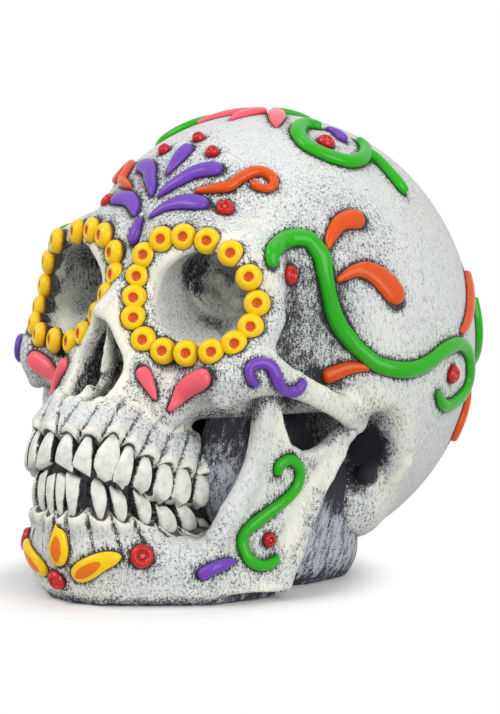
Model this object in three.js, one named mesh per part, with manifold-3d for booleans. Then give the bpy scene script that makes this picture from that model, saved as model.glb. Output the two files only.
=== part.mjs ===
// Painted sugar skull, life size: three castings, two rows of teeth and the raised ornaments bonded on them.
// Millimetres, +Z up, the face looks along -Y, +X is the skull's left side and Z = 0 is the table.
import * as THREE from 'three';
import { mergeVertices } from 'three/addons/utils/BufferGeometryUtils.js';
import Module from 'manifold-3d';

const wasm = await Module();
wasm.setup();

// Fits
const CLEARANCE = 0.4; // between two castings
const SEAT_GAP = 0.5; // glue line under an ornament
const ROOT = 1.2; // an ornament is made this much too deep, then trimmed to the bone

// Vault of the cranium: a large egg with a second, higher one blended in for the brow and crown
const VAULT_HALF_WIDTH = 76.5;
const VAULT_HALF_LENGTH = 87;
const VAULT_HALF_HEIGHT = 84;
const VAULT_CENTRE = [0, 11, 86];
const CROWN_HALF_WIDTH = 66;
const CROWN_HALF_LENGTH = 76;
const CROWN_HALF_HEIGHT = 64;
const CROWN_CENTRE = [0, 12, 110];
const CROWN_TILT = -12; // degrees, nose up
const TEMPLE_HOLLOW = [30, 34, 46]; // half sizes of the dished side behind the eye
const TEMPLE_CENTRE = [82, -46, 84];

// Underside of the cranium
const BASE_HEIGHT = 12; // flat underside behind the jaw
const BAY_HEIGHT = 66; // roof of the bay that the jaw stands in
const BAY_BACK = 0; // where the roof meets the sloping rear wall of the bay
const BAY_SLOPE = 14 / 50; // run of that wall for its drop
const BAY_FRONT = -42; // the bay is cut clean behind this
const BAY_STOCK = 9; // left on the rear wall of the bay for the clean cut

// Face
const EYE_HALF_WIDTH = 20; // eye socket
const EYE_HALF_DEPTH = 28;
const EYE_HALF_HEIGHT = 16.5;
const EYE_APART = 10; // half of the bone between the two sockets
const EYE_MIDDLE = EYE_APART + EYE_HALF_WIDTH;
const EYE_OUTER = EYE_MIDDLE + EYE_HALF_WIDTH;
const EYE_CENTRE = [EYE_MIDDLE, -56, 112];
const EYE_BACK_INSET = 3.7; // the back of the socket is narrower
const EYE_BACK_CENTRE = [EYE_MIDDLE - 1, -46, 113];
const FACE_YAW = 10; // degrees, each half of the face turns back from the middle
const FACE_PITCH = 17; // degrees, the face looks up a little
const NOSE_HALF = [7.3, 24, 11];
const NOSE_CENTRE = [6.5, -84, 83];
const EAR_HALF = [12, 8, 15];
const EAR_CENTRE = [62, 0, 46];
const EAR_KNOB_HALF = [11, 13, 15]; // behind and below the ear hole
const EAR_KNOB_CENTRE = [44, 8, 26];
const CHEEK_ARCH_RADIUS = 3.9;

// Teeth: each row is an arch from the middle of the mouth to the last molar
const UPPER_GUM_HEIGHT = 62.5; // at the incisors
const LOWER_GUM_HEIGHT = 34.5;
const UPPER_GUM_SLOPE = 0.33; // drop of the gum line for each millimetre towards the back
const LOWER_GUM_SLOPE = 0.24;
const UPPER_CROWN_HEIGHT = 11.5;
const LOWER_CROWN_HEIGHT = 12;
const UPPER_EDGE_ARCH = { halfWidth: 31, depth: 53, front: -113 };
const UPPER_GUM_ARCH = { halfWidth: 28, depth: 48, front: -104 };
const LOWER_EDGE_ARCH = { halfWidth: 29, depth: 50, front: -109 };
const LOWER_GUM_ARCH = { halfWidth: 27, depth: 47, front: -104 };
const RIDGE_INSET = 2.5; // middle of the bone ridge that bears the upper teeth, inside their arch
const RIDGE_RISE = 3.5; // and above the gum line
const RIDGE_DROP = 8; // from the incisors to the last molar
const UPPER_TOOTH_WIDTHS = [8.6, 7, 8.2, 7, 6.8, 9.4, 9.4, 8.4]; // from the middle outwards
const LOWER_TOOTH_WIDTHS = [5.6, 6, 7, 7, 7.2, 9.8, 9.6];
const FRONT_TOOTH_DEPTH = 5;
const BACK_TOOTH_DEPTH = 8;
const FIRST_BACK_TOOTH = 4; // places out from the middle
const TOOTH_SIDES = 6;
const TOOTH_ROOT = 2; // a crown starts this far inside the gum, and is trimmed to it
const CROWN_EDGE_SHARE = 0.54; // radius of a crown at its biting edge and its root, as shares of its width
const CROWN_ROOT_SHARE = 0.42;
const ROW_SHARE = 0.92; // of the arch that the teeth fill
const MOUTH_CUT = { width: 120, ahead: 40, behind: 70, thick: 60 }; // trims bone and teeth to a plane
const TIE_SHARE = 0.35; // how far down the crowns the tying bar lies

// Lower jaw: a horseshoe whose outside slopes from the gum line of the teeth down to a belly
const JAW_BELLY = [ // across and back
  [0, -107.5], [14, -104], [22, -98.5], [31, -91], [41, -82], [47, -75], [50.5, -66], [53.5, -55],
  [55, -45],
];
const JAW_GUM_SHARES = [0, 0.22, 0.4, 0.57, 0.7, 0.84, 0.97]; // of the arch of the teeth
const JAW_GUM_ENDS = [[33, -56], [45, -46]]; // behind the last tooth
const JAW_BELLY_HEIGHT = 13;
const JAW_UNDERCUT = 4; // the lower border is this far inside the belly
const JAW_BODY_THICKNESS = 14;
const JAW_GUM_LIP = 2; // bone outside the gum line
const JAW_GUM_BREADTH = 12;
const JAW_SECTIONS = 13; // from the chin to each end
const RAMUS_THICKNESS = 7.6; // upright plate at each end of the jaw
const RAMUS_MIDDLE = 54.5; // its mid-plane, from the middle of the skull
const RAMUS_BEND_START = -38; // in front of this the plate bends in towards the body
const RAMUS_BEND = 0.012;
const RAMUS_LEAN = 0.05;
const RAMUS_OUTLINE = [ // back and height
  [-41, 1], [-30, 19], [-18, 41], [-10, 55], [-3, 60], [-9, 61], [-14, 57], [-23, 52], [-34, 55], [-40, 64],
  [-43, 76], [-49, 77], [-54, 62], [-57, 48], [-62, 38], [-66, 26], [-64, 6], [-52, 1],
];
const CONDYLE_HALF = [6, 4.2, 4.6]; // hinge knob at the top of the plate
const CONDYLE_CENTRE = [56, -5.5, 58];

// Support core: the plain block under the cranium and inside the jaw
const CORE_HALF_WIDTH = 38;
const CORE_FRONT = -45;
const CORE_BACK = -2;
const MOUTH_HALF_WIDTH = 16; // narrower filling behind the teeth
const MOUTH_FRONT = -86;
const MOUTH_HEIGHT = 42;
const FOOT_HALF_WIDTH = 48;
const FOOT_FRONT = -31;
const FOOT_BACK = 16;
const CORE_CORNER = 12;

// Ornaments
const BEAD_COUNT = 16; // round each eye
const BEAD_RIM = 4; // from the edge of the eye socket to the middle of a bead
const RING_SQUARENESS = 2.6; // 2 would be an ellipse
const RING_LEAN = 0.28; // the ring lies back by this for each millimetre up
const BEAD_RADIUS = 4.7;
const BEAD_HEIGHT = 3.6;
const BEAD_SHOULDER = 0.86; // a bead's width and height halfway to its neck, as a share
const RING_REACH = 12; // the ring lies this far in front of the middle of the socket
const NECK_HALF_WIDTH = 1.6; // between one bead and the next
const NECK_HEIGHT = 1.4;
const PETAL_HEIGHT = 2.6;
const SCROLL_HEIGHT = 3.2;
const TEMPLE_SCROLL_HALF_WIDTH = 3.2;
const JAW_SCROLL_HALF_WIDTH = 2.2;
const CROWN_SCROLL_HALF_WIDTH = 3;
const CURL_HALF_WIDTH = 2.1;
const SQUIGGLE_HALF_WIDTH = 2;
const GEM_RADIUS = 3.4;
const SMALL_GEM_RADIUS = 2.5;
const CHIN_GEM_RADIUS = 4.4;
const GEM_HEIGHT = 2.4;

// Mesh fineness
const BONE_DETAIL = 10; // splits of each icosahedron edge
const BONE_GRAIN = 0.4; // how far the points crowd towards the face
const BONE_HEART = new THREE.Vector3(0, 0, 98); // the cranium's surface is reached outwards from here
const RIBBON_STEP = 5;
const EGG_SIDES = 14;
const EGG_RINGS = 8;
const BUTTON_SIDES = 7;

const vector = (values) => new THREE.Vector3(...values);
const vectors = (list) => list.map(vector);
const point2 = (x, y) => new THREE.Vector2(x, y);
const turn = (pitch, yaw) => new THREE.Euler(
  THREE.MathUtils.degToRad(pitch), 0, THREE.MathUtils.degToRad(yaw), 'ZYX');

// Closed geometry to solid and back
function solidOf(geometry) {
  const bare = geometry.clone();
  bare.deleteAttribute('normal');
  bare.deleteAttribute('uv');
  const merged = mergeVertices(bare, 1e-4);
  return new wasm.Manifold(new wasm.Mesh({
    numProp: 3,
    vertProperties: new Float32Array(merged.attributes.position.array),
    triVerts: new Uint32Array(merged.index.array),
  }));
}

function geometryOf(solid) {
  const mesh = solid.getMesh();
  const geometry = new THREE.BufferGeometry();
  geometry.setAttribute('position', new THREE.BufferAttribute(mesh.vertProperties, 3));
  geometry.setIndex(new THREE.BufferAttribute(mesh.triVerts, 1));
  geometry.computeVertexNormals();
  return geometry;
}

const join = (solids) => solids.reduce((whole, solid) => whole.add(solid));

// Mirror image across the middle of the skull, faces kept outwards
function mirrored(geometry) {
  const copy = geometry.clone().scale(-1, 1, 1);
  const corners = copy.index.array;
  for (let i = 0; i < corners.length; i += 3) {
    [corners[i], corners[i + 1]] = [corners[i + 1], corners[i]];
  }
  copy.computeVertexNormals();
  return copy;
}

const bothSides = (solid) => solid.add(solidOf(mirrored(geometryOf(solid))));

// Solid ellipsoid
function eggSolid(centre, half, euler = turn(0, 0)) {
  const geometry = new THREE.SphereGeometry(1, EGG_SIDES, EGG_RINGS);
  geometry.scale(...half);
  geometry.applyQuaternion(new THREE.Quaternion().setFromEuler(euler));
  geometry.translate(...centre);
  return solidOf(geometry);
}

// Distance fields of the bone, measured on the left half
function egg(centre, half, euler = turn(0, 0)) {
  const inverse = new THREE.Quaternion().setFromEuler(euler).invert();
  const origin = vector(centre);
  const radii = vector(half);
  return (point) => {
    const local = point.clone().sub(origin).applyQuaternion(inverse).divide(radii);
    const near = local.length();
    const steep = local.divide(radii).length();
    return (near * (near - 1)) / Math.max(steep, 1e-9);
  };
}

function block(centre, half, radius, euler) {
  const inverse = new THREE.Quaternion().setFromEuler(euler).invert();
  const origin = vector(centre);
  const inner = vector(half).subScalar(radius);
  return (point) => {
    const local = point.clone().sub(origin).applyQuaternion(inverse);
    const over = new THREE.Vector3(Math.abs(local.x), Math.abs(local.y), Math.abs(local.z)).sub(inner);
    const inside = Math.min(Math.max(over.x, over.y, over.z), 0);
    return over.max(new THREE.Vector3()).length() + inside - radius;
  };
}

// Round limb through points, each with its radius, stretched upwards
function limb(points, radii, stretch = 1) {
  const squash = (p) => new THREE.Vector3(p.x, p.y, p.z / stretch);
  const joints = vectors(points).map(squash);
  return (point) => {
    const p = squash(point);
    let nearest = Infinity;
    for (let i = 0; i + 1 < joints.length; i += 1) {
      const along = joints[i + 1].clone().sub(joints[i]);
      const from = p.clone().sub(joints[i]);
      const share = THREE.MathUtils.clamp(from.dot(along) / along.lengthSq(), 0, 1);
      const gap = from.addScaledVector(along, -share).length();
      nearest = Math.min(nearest, gap - THREE.MathUtils.lerp(radii[i], radii[i + 1], share));
    }
    return nearest;
  };
}

// Rough bay under the face: below its roof and in front of its sloping rear wall
function bay(point) {
  const drop = point.z - BAY_HEIGHT;
  const wall = (point.y - BAY_BACK + BAY_STOCK + BAY_SLOPE * drop) / Math.hypot(1, BAY_SLOPE);
  return Math.max(drop, wall);
}

function blendMin(a, b, width) {
  const overlap = Math.max(width - Math.abs(a - b), 0) / width;
  return Math.min(a, b) - (overlap * overlap * width) / 4;
}
const blendMax = (a, b, width) => -blendMin(-a, -b, width);

const grow = (shape, blend) => (distance, point) => blendMin(distance, shape(point), blend);
const carve = (shape, blend) => (distance, point) => blendMax(distance, -shape(point), blend);

const archPoint = (arch, share) => [
  arch.halfWidth * Math.sin((share * Math.PI) / 2),
  arch.front + arch.depth * (1 - Math.cos((share * Math.PI) / 2)),
];
const upperRidge = [0, 0.2, 0.4, 0.6, 0.8, 1].map((share) => {
  const inner = {
    halfWidth: UPPER_GUM_ARCH.halfWidth - RIDGE_INSET,
    depth: UPPER_GUM_ARCH.depth - RIDGE_INSET,
    front: UPPER_GUM_ARCH.front + RIDGE_INSET,
  };
  return [...archPoint(inner, share), UPPER_GUM_HEIGHT + RIDGE_RISE - RIDGE_DROP * share];
});

// The cranium without its holes, in the order in which the masses are laid on
const CRANIUM_STEPS = [
  grow(egg(CROWN_CENTRE, [CROWN_HALF_WIDTH, CROWN_HALF_LENGTH, CROWN_HALF_HEIGHT], turn(CROWN_TILT, 0)), 6),
  carve((point) => point.z - BASE_HEIGHT, 4),
  carve(bay, 8),
  carve(egg(TEMPLE_CENTRE, TEMPLE_HOLLOW, turn(0, -14)), 14),
  grow(egg([0, -38, 112], [44, 25, 28]), 12), // middle of the face
  grow(block([EYE_MIDDLE - 4, -49, 111], [EYE_HALF_WIDTH + 5, 13, 23], 9, // frame round the eye
    turn(FACE_PITCH, FACE_YAW)), 7),
  grow(egg([0, -62, 84], [28, 19, 26], turn(18, 0)), 8), // upper jaw body
  grow(limb([[0, -58.5, 131], [11, -59, 134], [EYE_MIDDLE - 6, -56, 135], // brow
    [EYE_MIDDLE + 7, -51, 131], [EYE_OUTER - 2, -47.5, 123]], [5, 5, 5, 4.3, 3.5]), 7),
  grow(limb([[EYE_OUTER - 0.5, -48, 124], [EYE_OUTER + 2.5, -49.5, 114], // outer side of the eye
    [EYE_OUTER + 4, -52, 104], [EYE_OUTER + 1, -60, 92]], [3.5, 3.8, 5, 7.5]), 6),
  grow(egg([EYE_OUTER - 6, -65.5, 83], [14, 10, 10], turn(0, 14)), 7), // cheekbone
  grow(limb([[EYE_OUTER - 4, -67, 82], [EYE_OUTER - 3, -71, 76]], [6, 4.5]), 5),
  grow(limb(upperRidge, [7.5, 7.5, 7.5, 8, 8.5, 9], 1.3), 8), // ridge that bears the upper teeth
  grow(egg([0, -77, 74], [22, 17, 14]), 8),
  grow(limb([[0, -57, 127], [0, -70.5, 114], [0, -83.5, 106]], [5.5, 3.8, 3.8]), 5), // nose bridge
  grow(limb([[5, -57, 122], [9, -70, 106], [12.5, -79.5, 86], [12.5, -86, 74]], [4.5, 4.3, 4.8, 4.8]), 5),
];
const vault = egg(VAULT_CENTRE, [VAULT_HALF_WIDTH, VAULT_HALF_LENGTH, VAULT_HALF_HEIGHT]);

function craniumDistance(point) {
  const left = new THREE.Vector3(Math.abs(point.x), point.y, point.z);
  return CRANIUM_STEPS.reduce((distance, step) => step(distance, left), vault(left));
}

// Ball whose points slide along their rays until they lie on the bone, or extra outside it
function craniumBlank(extra) {
  const ball = new THREE.IcosahedronGeometry(1, BONE_DETAIL);
  ball.deleteAttribute('normal');
  ball.deleteAttribute('uv');
  const geometry = mergeVertices(ball, 1e-4);
  const places = geometry.attributes.position;
  const reach = 2 * Math.max(VAULT_HALF_LENGTH, VAULT_HALF_HEIGHT, VAULT_HALF_WIDTH);
  for (let i = 0; i < places.count; i += 1) {
    const ray = new THREE.Vector3().fromBufferAttribute(places, i);
    ray.y -= BONE_GRAIN;
    ray.normalize();
    let out = reach;
    let distance = Infinity;
    for (let round = 0; round < 200 && distance > 0.01; round += 1) {
      distance = craniumDistance(ray.clone().multiplyScalar(out).add(BONE_HEART)) - extra;
      out -= 0.7 * distance;
    }
    places.setXYZ(i, ...ray.multiplyScalar(out).add(BONE_HEART).toArray());
  }
  return solidOf(geometry);
}

// Section of a bar, square or with its corners cut off
function barSection(height, thickness, corner) {
  const [h, t] = [height / 2, thickness / 2];
  if (corner === 0) {
    return new THREE.Shape([point2(-h, -t), point2(h, -t), point2(h, t), point2(-h, t)]);
  }
  return new THREE.Shape([
    point2(-h + corner, -t), point2(h - corner, -t), point2(h, -t + corner), point2(h, t - corner),
    point2(h - corner, t), point2(-h + corner, t), point2(-h, t - corner), point2(-h, -t + corner),
  ]);
}

// Bar swept along a flat or rising path
function sweptBar(points, height, thickness, steps, corner = thickness / 3) {
  const extrudePath = new THREE.CatmullRomCurve3(points);
  const section = barSection(height, thickness, corner);
  return solidOf(new THREE.ExtrudeGeometry(section, { steps, extrudePath, bevelEnabled: false }));
}

// Points on the left, the middle one included, continued on the right
function wholePath(left) {
  const right = left.filter((p) => p.x > 0).map((p) => new THREE.Vector3(-p.x, p.y, p.z));
  return [...right.reverse(), ...left];
}

// Big block above (side 1) or below (side -1) a gum line that drops towards the back
function gumBlock(height, slope, front, side, shift) {
  const { width, ahead, behind, thick } = MOUTH_CUT;
  const geometry = new THREE.BoxGeometry(width, ahead + behind, thick);
  geometry.translate(0, (behind - ahead) / 2, (side * thick) / 2);
  geometry.rotateX(-Math.atan(slope));
  geometry.translate(0, front, height + shift);
  return solidOf(geometry);
}

// Skin over a row of sections with the same number of points each, open at the ends or closed round
function lofted(sections, closed) {
  const count = sections[0].length;
  const faces = [];
  sections.forEach((_, i) => {
    if (i + 1 === sections.length && !closed) {
      return;
    }
    const [here, next] = [count * i, count * ((i + 1) % sections.length)];
    for (let k = 0; k < count; k += 1) {
      const [a, b, c, d] = [here + k, here + ((k + 1) % count), next + ((k + 1) % count), next + k];
      faces.push(a, c, b, a, d, c);
    }
  });
  if (!closed) {
    const last = count * (sections.length - 1);
    for (let k = 1; k + 1 < count; k += 1) {
      faces.push(0, k, k + 1);
      faces.push(last, last + k + 1, last + k);
    }
  }
  const places = sections.flat().flatMap((point) => point.toArray());
  const geometry = new THREE.BufferGeometry();
  geometry.setAttribute('position', new THREE.Float32BufferAttribute(places, 3));
  geometry.setIndex(faces);
  return solidOf(geometry);
}

// Horseshoe of the lower jaw
function jawBody(extra) {
  const flat = ([x, y]) => new THREE.Vector3(x, y, 0);
  const along = (list) => new THREE.CatmullRomCurve3(wholePath(list.map(flat)));
  const gumPoints = JAW_GUM_SHARES.map((share) => archPoint(LOWER_GUM_ARCH, share));
  const [bellyLine, gumLine] = [along(JAW_BELLY), along([...gumPoints, ...JAW_GUM_ENDS])];
  const sections = Array.from({ length: JAW_SECTIONS }, (_, i) => {
    const share = 0.5 + i / (2 * (JAW_SECTIONS - 1));
    const tangent = bellyLine.getTangent(share);
    const out = i === 0 ? new THREE.Vector3(0, -1, 0) : new THREE.Vector3(tangent.y, -tangent.x, 0);
    const [belly, gum] = [bellyLine.getPoint(share), gumLine.getPoint(share)];
    const at = (base, away, height) => base.clone().addScaledVector(out, away).setZ(height);
    const onGum = (away) => {
      const point = at(gum, away, LOWER_GUM_HEIGHT + extra);
      point.z -= LOWER_GUM_SLOPE * (point.y - LOWER_GUM_ARCH.front);
      return point;
    };
    return [
      at(belly, extra - JAW_UNDERCUT, -extra),
      at(belly, extra, JAW_BELLY_HEIGHT),
      onGum(JAW_GUM_LIP + extra),
      onGum(JAW_GUM_LIP - JAW_GUM_BREADTH - extra),
      at(belly, -JAW_BODY_THICKNESS - extra, -extra),
    ];
  });
  return bothSides(lofted(sections, false));
}

// Lower jaw; extra thickens every surface, for cutting the pieces that it fits in
function jawSolid(extra) {
  const half = CONDYLE_HALF.map((size) => size + extra);
  return jawBody(extra).add(bothSides(ramusSolid(extra).add(eggSolid(CONDYLE_CENTRE, half))));
}

// Upright plate: outline extruded across the skull, then bent in towards the jaw body
function ramusSolid(extra) {
  const outline = new THREE.Shape(RAMUS_OUTLINE.map(([back, height]) => new THREE.Vector2(back, height)));
  const depth = RAMUS_THICKNESS + 2 * extra;
  const bevel = { bevelThickness: 1.6, bevelSize: extra, bevelSegments: 1 };
  const options = { depth: depth - 2 * bevel.bevelThickness, steps: 1, bevelEnabled: true, ...bevel };
  const geometry = new THREE.ExtrudeGeometry(outline, options);
  geometry.translate(0, 0, -options.depth / 2);
  const places = geometry.attributes.position;
  for (let i = 0; i < places.count; i += 1) {
    const [back, height, across] = [places.getX(i), places.getY(i), places.getZ(i)];
    const bend = RAMUS_BEND * Math.max(0, RAMUS_BEND_START - back) ** 2;
    places.setXYZ(i, RAMUS_MIDDLE - bend + RAMUS_LEAN * (height - 40) + across, back, height);
  }
  return solidOf(geometry);
}

// Upright slab with rounded corners in plan
function slab(halfWidth, front, back, top, extra) {
  const [w, f, b] = [halfWidth + extra, front - extra, back + extra];
  const c = CORE_CORNER;
  const plan = new THREE.Shape();
  plan.moveTo(-w + c, f);
  plan.lineTo(w - c, f);
  plan.absarc(w - c, f + c, c, -Math.PI / 2, 0);
  plan.absarc(w - c, b - c, c, 0, Math.PI / 2);
  plan.absarc(-w + c, b - c, c, Math.PI / 2, Math.PI);
  plan.absarc(-w + c, f + c, c, Math.PI, 1.5 * Math.PI);
  const options = { depth: top + extra, steps: 1, bevelEnabled: false, curveSegments: 5 };
  return solidOf(new THREE.ExtrudeGeometry(plan, options));
}

function coreSolid(extra) {
  const column = slab(CORE_HALF_WIDTH, CORE_FRONT, CORE_BACK, BAY_HEIGHT - CLEARANCE, extra);
  const mouth = slab(MOUTH_HALF_WIDTH, MOUTH_FRONT, CORE_FRONT + 2 * CORE_CORNER, MOUTH_HEIGHT, extra);
  const foot = slab(FOOT_HALF_WIDTH, FOOT_FRONT, FOOT_BACK, BASE_HEIGHT - CLEARANCE, extra);
  return join([column, mouth, foot]);
}

// Row of tapered crowns on their gum line, tied by a bar along the roots and trimmed to the plane of the bite
function toothRow(widths, edgeArch, gumArch, gumHeight, gumSlope, crownHeight, up) {
  const crowns = [];
  const total = widths.reduce((sum, width) => sum + width, 0);
  const gumAt = (y) => gumHeight - gumSlope * (y - gumArch.front);
  const bar = [];
  let run = 0;
  widths.forEach((width, index) => {
    const share = ((run + width / 2) / total) * ROW_SHARE;
    run += width;
    const [ex, ey] = archPoint(edgeArch, share);
    const [gx, gy] = archPoint(gumArch, share);
    const root = new THREE.Vector3(gx, gy, gumAt(gy) + TOOTH_ROOT * up);
    const edge = new THREE.Vector3(ex, ey, gumAt(gy) - crownHeight * up);
    const backness = Math.min(1, index / FIRST_BACK_TOOTH);
    const depth = THREE.MathUtils.lerp(FRONT_TOOTH_DEPTH, BACK_TOOTH_DEPTH, backness);
    const long = root.distanceTo(edge);
    const geometry = new THREE.CylinderGeometry(CROWN_ROOT_SHARE, CROWN_EDGE_SHARE, long, TOOTH_SIDES);
    geometry.rotateY(Math.PI / TOOTH_SIDES);
    geometry.scale(width, 1, depth);
    const rise = root.clone().sub(edge).normalize();
    const outward = new THREE.Vector3(Math.sin((share * Math.PI) / 2), -Math.cos((share * Math.PI) / 2), 0);
    const across = new THREE.Vector3().crossVectors(rise, outward).normalize();
    const depthWay = new THREE.Vector3().crossVectors(across, rise);
    const middle = root.clone().add(edge).multiplyScalar(0.5).addScaledVector(depthWay, -depth / 2);
    const place = new THREE.Matrix4().makeBasis(across, rise, depthWay).setPosition(middle);
    crowns.push(solidOf(geometry.applyMatrix4(place)));
    bar.push(root.clone().lerp(edge, TIE_SHARE).addScaledVector(depthWay, -depth / 2));
  });
  bar.unshift(new THREE.Vector3(0, bar[0].y, bar[0].z));
  const tie = sweptBar(wholePath(bar), crownHeight / 3, FRONT_TOOTH_DEPTH / 2, 10, 0);
  const row = bothSides(join(crowns)).add(tie);
  const gum = gumBlock(gumHeight, gumSlope, gumArch.front, up, -CLEARANCE * up);
  const biteHeight = UPPER_GUM_HEIGHT - UPPER_CROWN_HEIGHT;
  const bite = gumBlock(biteHeight, UPPER_GUM_SLOPE, UPPER_GUM_ARCH.front, -up, (up * CLEARANCE) / 2);
  return row.subtract(gum).subtract(bite);
}

// Castings and teeth
const archCurve = vectors([
  [EYE_OUTER - 4, -64, 86], [EYE_OUTER + 4, -60, 85], [60.5, -51, 81],
  [65, -37, 74], [64, -22, 69], [57, -4, 69],
]);
function cheekArches(extra) {
  const thickness = 2 * (CHEEK_ARCH_RADIUS + extra);
  return bothSides(sweptBar(archCurve, thickness + 2, thickness, 10));
}
const faceTurn = turn(FACE_PITCH, FACE_YAW);
const EYE_HALF = [EYE_HALF_WIDTH, EYE_HALF_DEPTH, EYE_HALF_HEIGHT];

// Clean cut of the bay: a wedge under its roof, from the front of the cut to the sloping rear wall
function bayWedge() {
  const wall = (height) => BAY_BACK + BAY_SLOPE * (BAY_HEIGHT - height);
  const outline = new THREE.Shape([
    point2(BAY_FRONT, BAY_HEIGHT), point2(BAY_FRONT, 0),
    point2(wall(0), 0), point2(wall(BAY_HEIGHT), BAY_HEIGHT),
  ]);
  const width = 2 * VAULT_HALF_WIDTH;
  const geometry = new THREE.ExtrudeGeometry(outline, { depth: width, steps: 1, bevelEnabled: false });
  geometry.applyMatrix4(new THREE.Matrix4().makeBasis(
    new THREE.Vector3(0, 1, 0), new THREE.Vector3(0, 0, 1), new THREE.Vector3(1, 0, 0)));
  geometry.translate(-width / 2, 0, CLEARANCE);
  return solidOf(geometry);
}

const holes = bothSides(join([
  eggSolid(EYE_CENTRE, EYE_HALF, faceTurn),
  eggSolid(EYE_BACK_CENTRE, EYE_HALF.map((size) => size - EYE_BACK_INSET), faceTurn),
  eggSolid(NOSE_CENTRE, NOSE_HALF),
  eggSolid(EAR_CENTRE, EAR_HALF),
]));
const upperGum = gumBlock(UPPER_GUM_HEIGHT, UPPER_GUM_SLOPE, UPPER_GUM_ARCH.front, -1, 0);
const earKnobs = bothSides(eggSolid(EAR_KNOB_CENTRE, EAR_KNOB_HALF));
const boneSkin = craniumBlank(0).add(cheekArches(0));
const jaw = jawSolid(0);
const cranium = craniumBlank(0)
  .subtract(bayWedge())
  .add(cheekArches(0))
  .add(earKnobs)
  .subtract(holes)
  .subtract(upperGum)
  .subtract(jawSolid(CLEARANCE))
  .subtract(coreSolid(CLEARANCE));
const core = coreSolid(0).subtract(jawSolid(CLEARANCE));
const upperTeeth = toothRow(UPPER_TOOTH_WIDTHS, UPPER_EDGE_ARCH, UPPER_GUM_ARCH,
  UPPER_GUM_HEIGHT, UPPER_GUM_SLOPE, UPPER_CROWN_HEIGHT, 1);
const lowerTeeth = toothRow(LOWER_TOOTH_WIDTHS, LOWER_EDGE_ARCH, LOWER_GUM_ARCH,
  LOWER_GUM_HEIGHT, LOWER_GUM_SLOPE, LOWER_CROWN_HEIGHT, -1);

// Beds of the ornaments: the bone, the bone with the glue line on it, and the point that seats look away from
const craniumBed = craniumBlank(SEAT_GAP).add(cheekArches(SEAT_GAP));
const onCranium = { skin: new THREE.Mesh(geometryOf(boneSkin)), bed: craniumBed };
const onJaw = { skin: new THREE.Mesh(geometryOf(jaw)), bed: jawSolid(SEAT_GAP) };
const ON_VAULT = { ...onCranium, heart: new THREE.Vector3(0, 0, 95) };
const ON_FACE = { ...onCranium, heart: new THREE.Vector3(0, -10, 95) };
const ON_EYE = { ...onCranium, heart: new THREE.Vector3(-123, 833, -131) }; // far behind: parallel seats
const ON_CHEEK = { ...onCranium, heart: new THREE.Vector3(20, -45, 84) };
const ON_CHIN = { ...onJaw, heart: new THREE.Vector3(0, -60, 14) };
const ON_RAMUS = { ...onJaw, heart: new THREE.Vector3(0, -40, 26) };
const caster = new THREE.Raycaster();

// Where the line from the seat's heart through a point comes out of the bone
function seat(point, place) {
  const way = point.clone().sub(place.heart).normalize();
  caster.set(point.clone().addScaledVector(way, 25), way.clone().negate());
  const [hit] = caster.intersectObject(place.skin, false);
  return (hit ? hit.point : point.clone()).addScaledVector(way, SEAT_GAP);
}

const shareOf = (list, share) => {
  const at = share * (list.length - 1);
  const low = Math.min(Math.floor(at), list.length - 2);
  return THREE.MathUtils.lerp(list[low], list[low + 1], at - low);
};

// Widths at the points of a path, as a function of the share of its length
function widthAlong(points, widths) {
  const runs = [0];
  points.slice(1).forEach((spot, i) => runs.push(runs[i] + spot.distanceTo(points[i])));
  const whole = runs[runs.length - 1];
  return (share) => {
    const later = runs.findIndex((run) => run >= share * whole - 1e-6);
    const high = Math.max(1, later);
    const part = (share * whole - runs[high - 1]) / (runs[high] - runs[high - 1]);
    return THREE.MathUtils.lerp(widths[high - 1], widths[high], part);
  };
}

// Raised strip laid on the bone along a path, or round it in closedSteps; five points in each section,
// its half width and height are functions of the share of the path's length
function ribbon(points, halfAt, heightAt, place, closedSteps = 0) {
  const closed = closedSteps > 0;
  const curve = new THREE.CatmullRomCurve3(points, closed, 'centripetal');
  const steps = closed ? closedSteps : Math.max(5, Math.ceil(curve.getLength() / RIBBON_STEP));
  const sections = Array.from({ length: closed ? steps : steps + 1 }, (_, i) => {
    const share = i / steps;
    const middle = curve.getPointAt(share);
    const way = middle.clone().sub(place.heart).normalize();
    const side = new THREE.Vector3().crossVectors(curve.getTangentAt(share), way).normalize();
    const half = halfAt(share);
    const height = heightAt(share);
    const across = (offset) => seat(middle.clone().addScaledVector(side, offset), place);
    const [right, left, top] = [across(half), across(-half), across(0)];
    const shoulder = height * 0.6;
    return [
      right.clone().addScaledVector(way, -ROOT),
      right.clone().lerp(top, 0.2).addScaledVector(way, shoulder),
      top.clone().addScaledVector(way, height),
      left.clone().lerp(top, 0.2).addScaledVector(way, shoulder),
      left.clone().addScaledVector(way, -ROOT),
    ];
  });
  return lofted(sections, closed).subtract(place.bed);
}

// Turned button standing square on the bone
function button(profile, radius, at, place) {
  const middle = seat(at, place);
  const away = at.clone().sub(place.heart).normalize();
  const east = new THREE.Vector3().crossVectors(new THREE.Vector3(0, 0, 1), away).normalize();
  const north = new THREE.Vector3().crossVectors(away, east);
  const rim = [0, 1, 2, 3, 4, 5].map((k) => {
    const angle = (k * Math.PI) / 3;
    const spot = at.clone().addScaledVector(east, radius * Math.cos(angle));
    return seat(spot.addScaledVector(north, radius * Math.sin(angle)), place);
  });
  const normal = new THREE.Vector3();
  rim.forEach((spot, k) => {
    const next = rim[(k + 1) % rim.length];
    normal.add(new THREE.Vector3().crossVectors(spot.clone().sub(middle), next.clone().sub(middle)));
  });
  normal.normalize();
  const geometry = new THREE.LatheGeometry(profile, BUTTON_SIDES);
  geometry.applyQuaternion(new THREE.Quaternion().setFromUnitVectors(new THREE.Vector3(0, 1, 0), normal));
  geometry.translate(...middle.toArray());
  return solidOf(geometry).subtract(place.bed);
}

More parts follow.
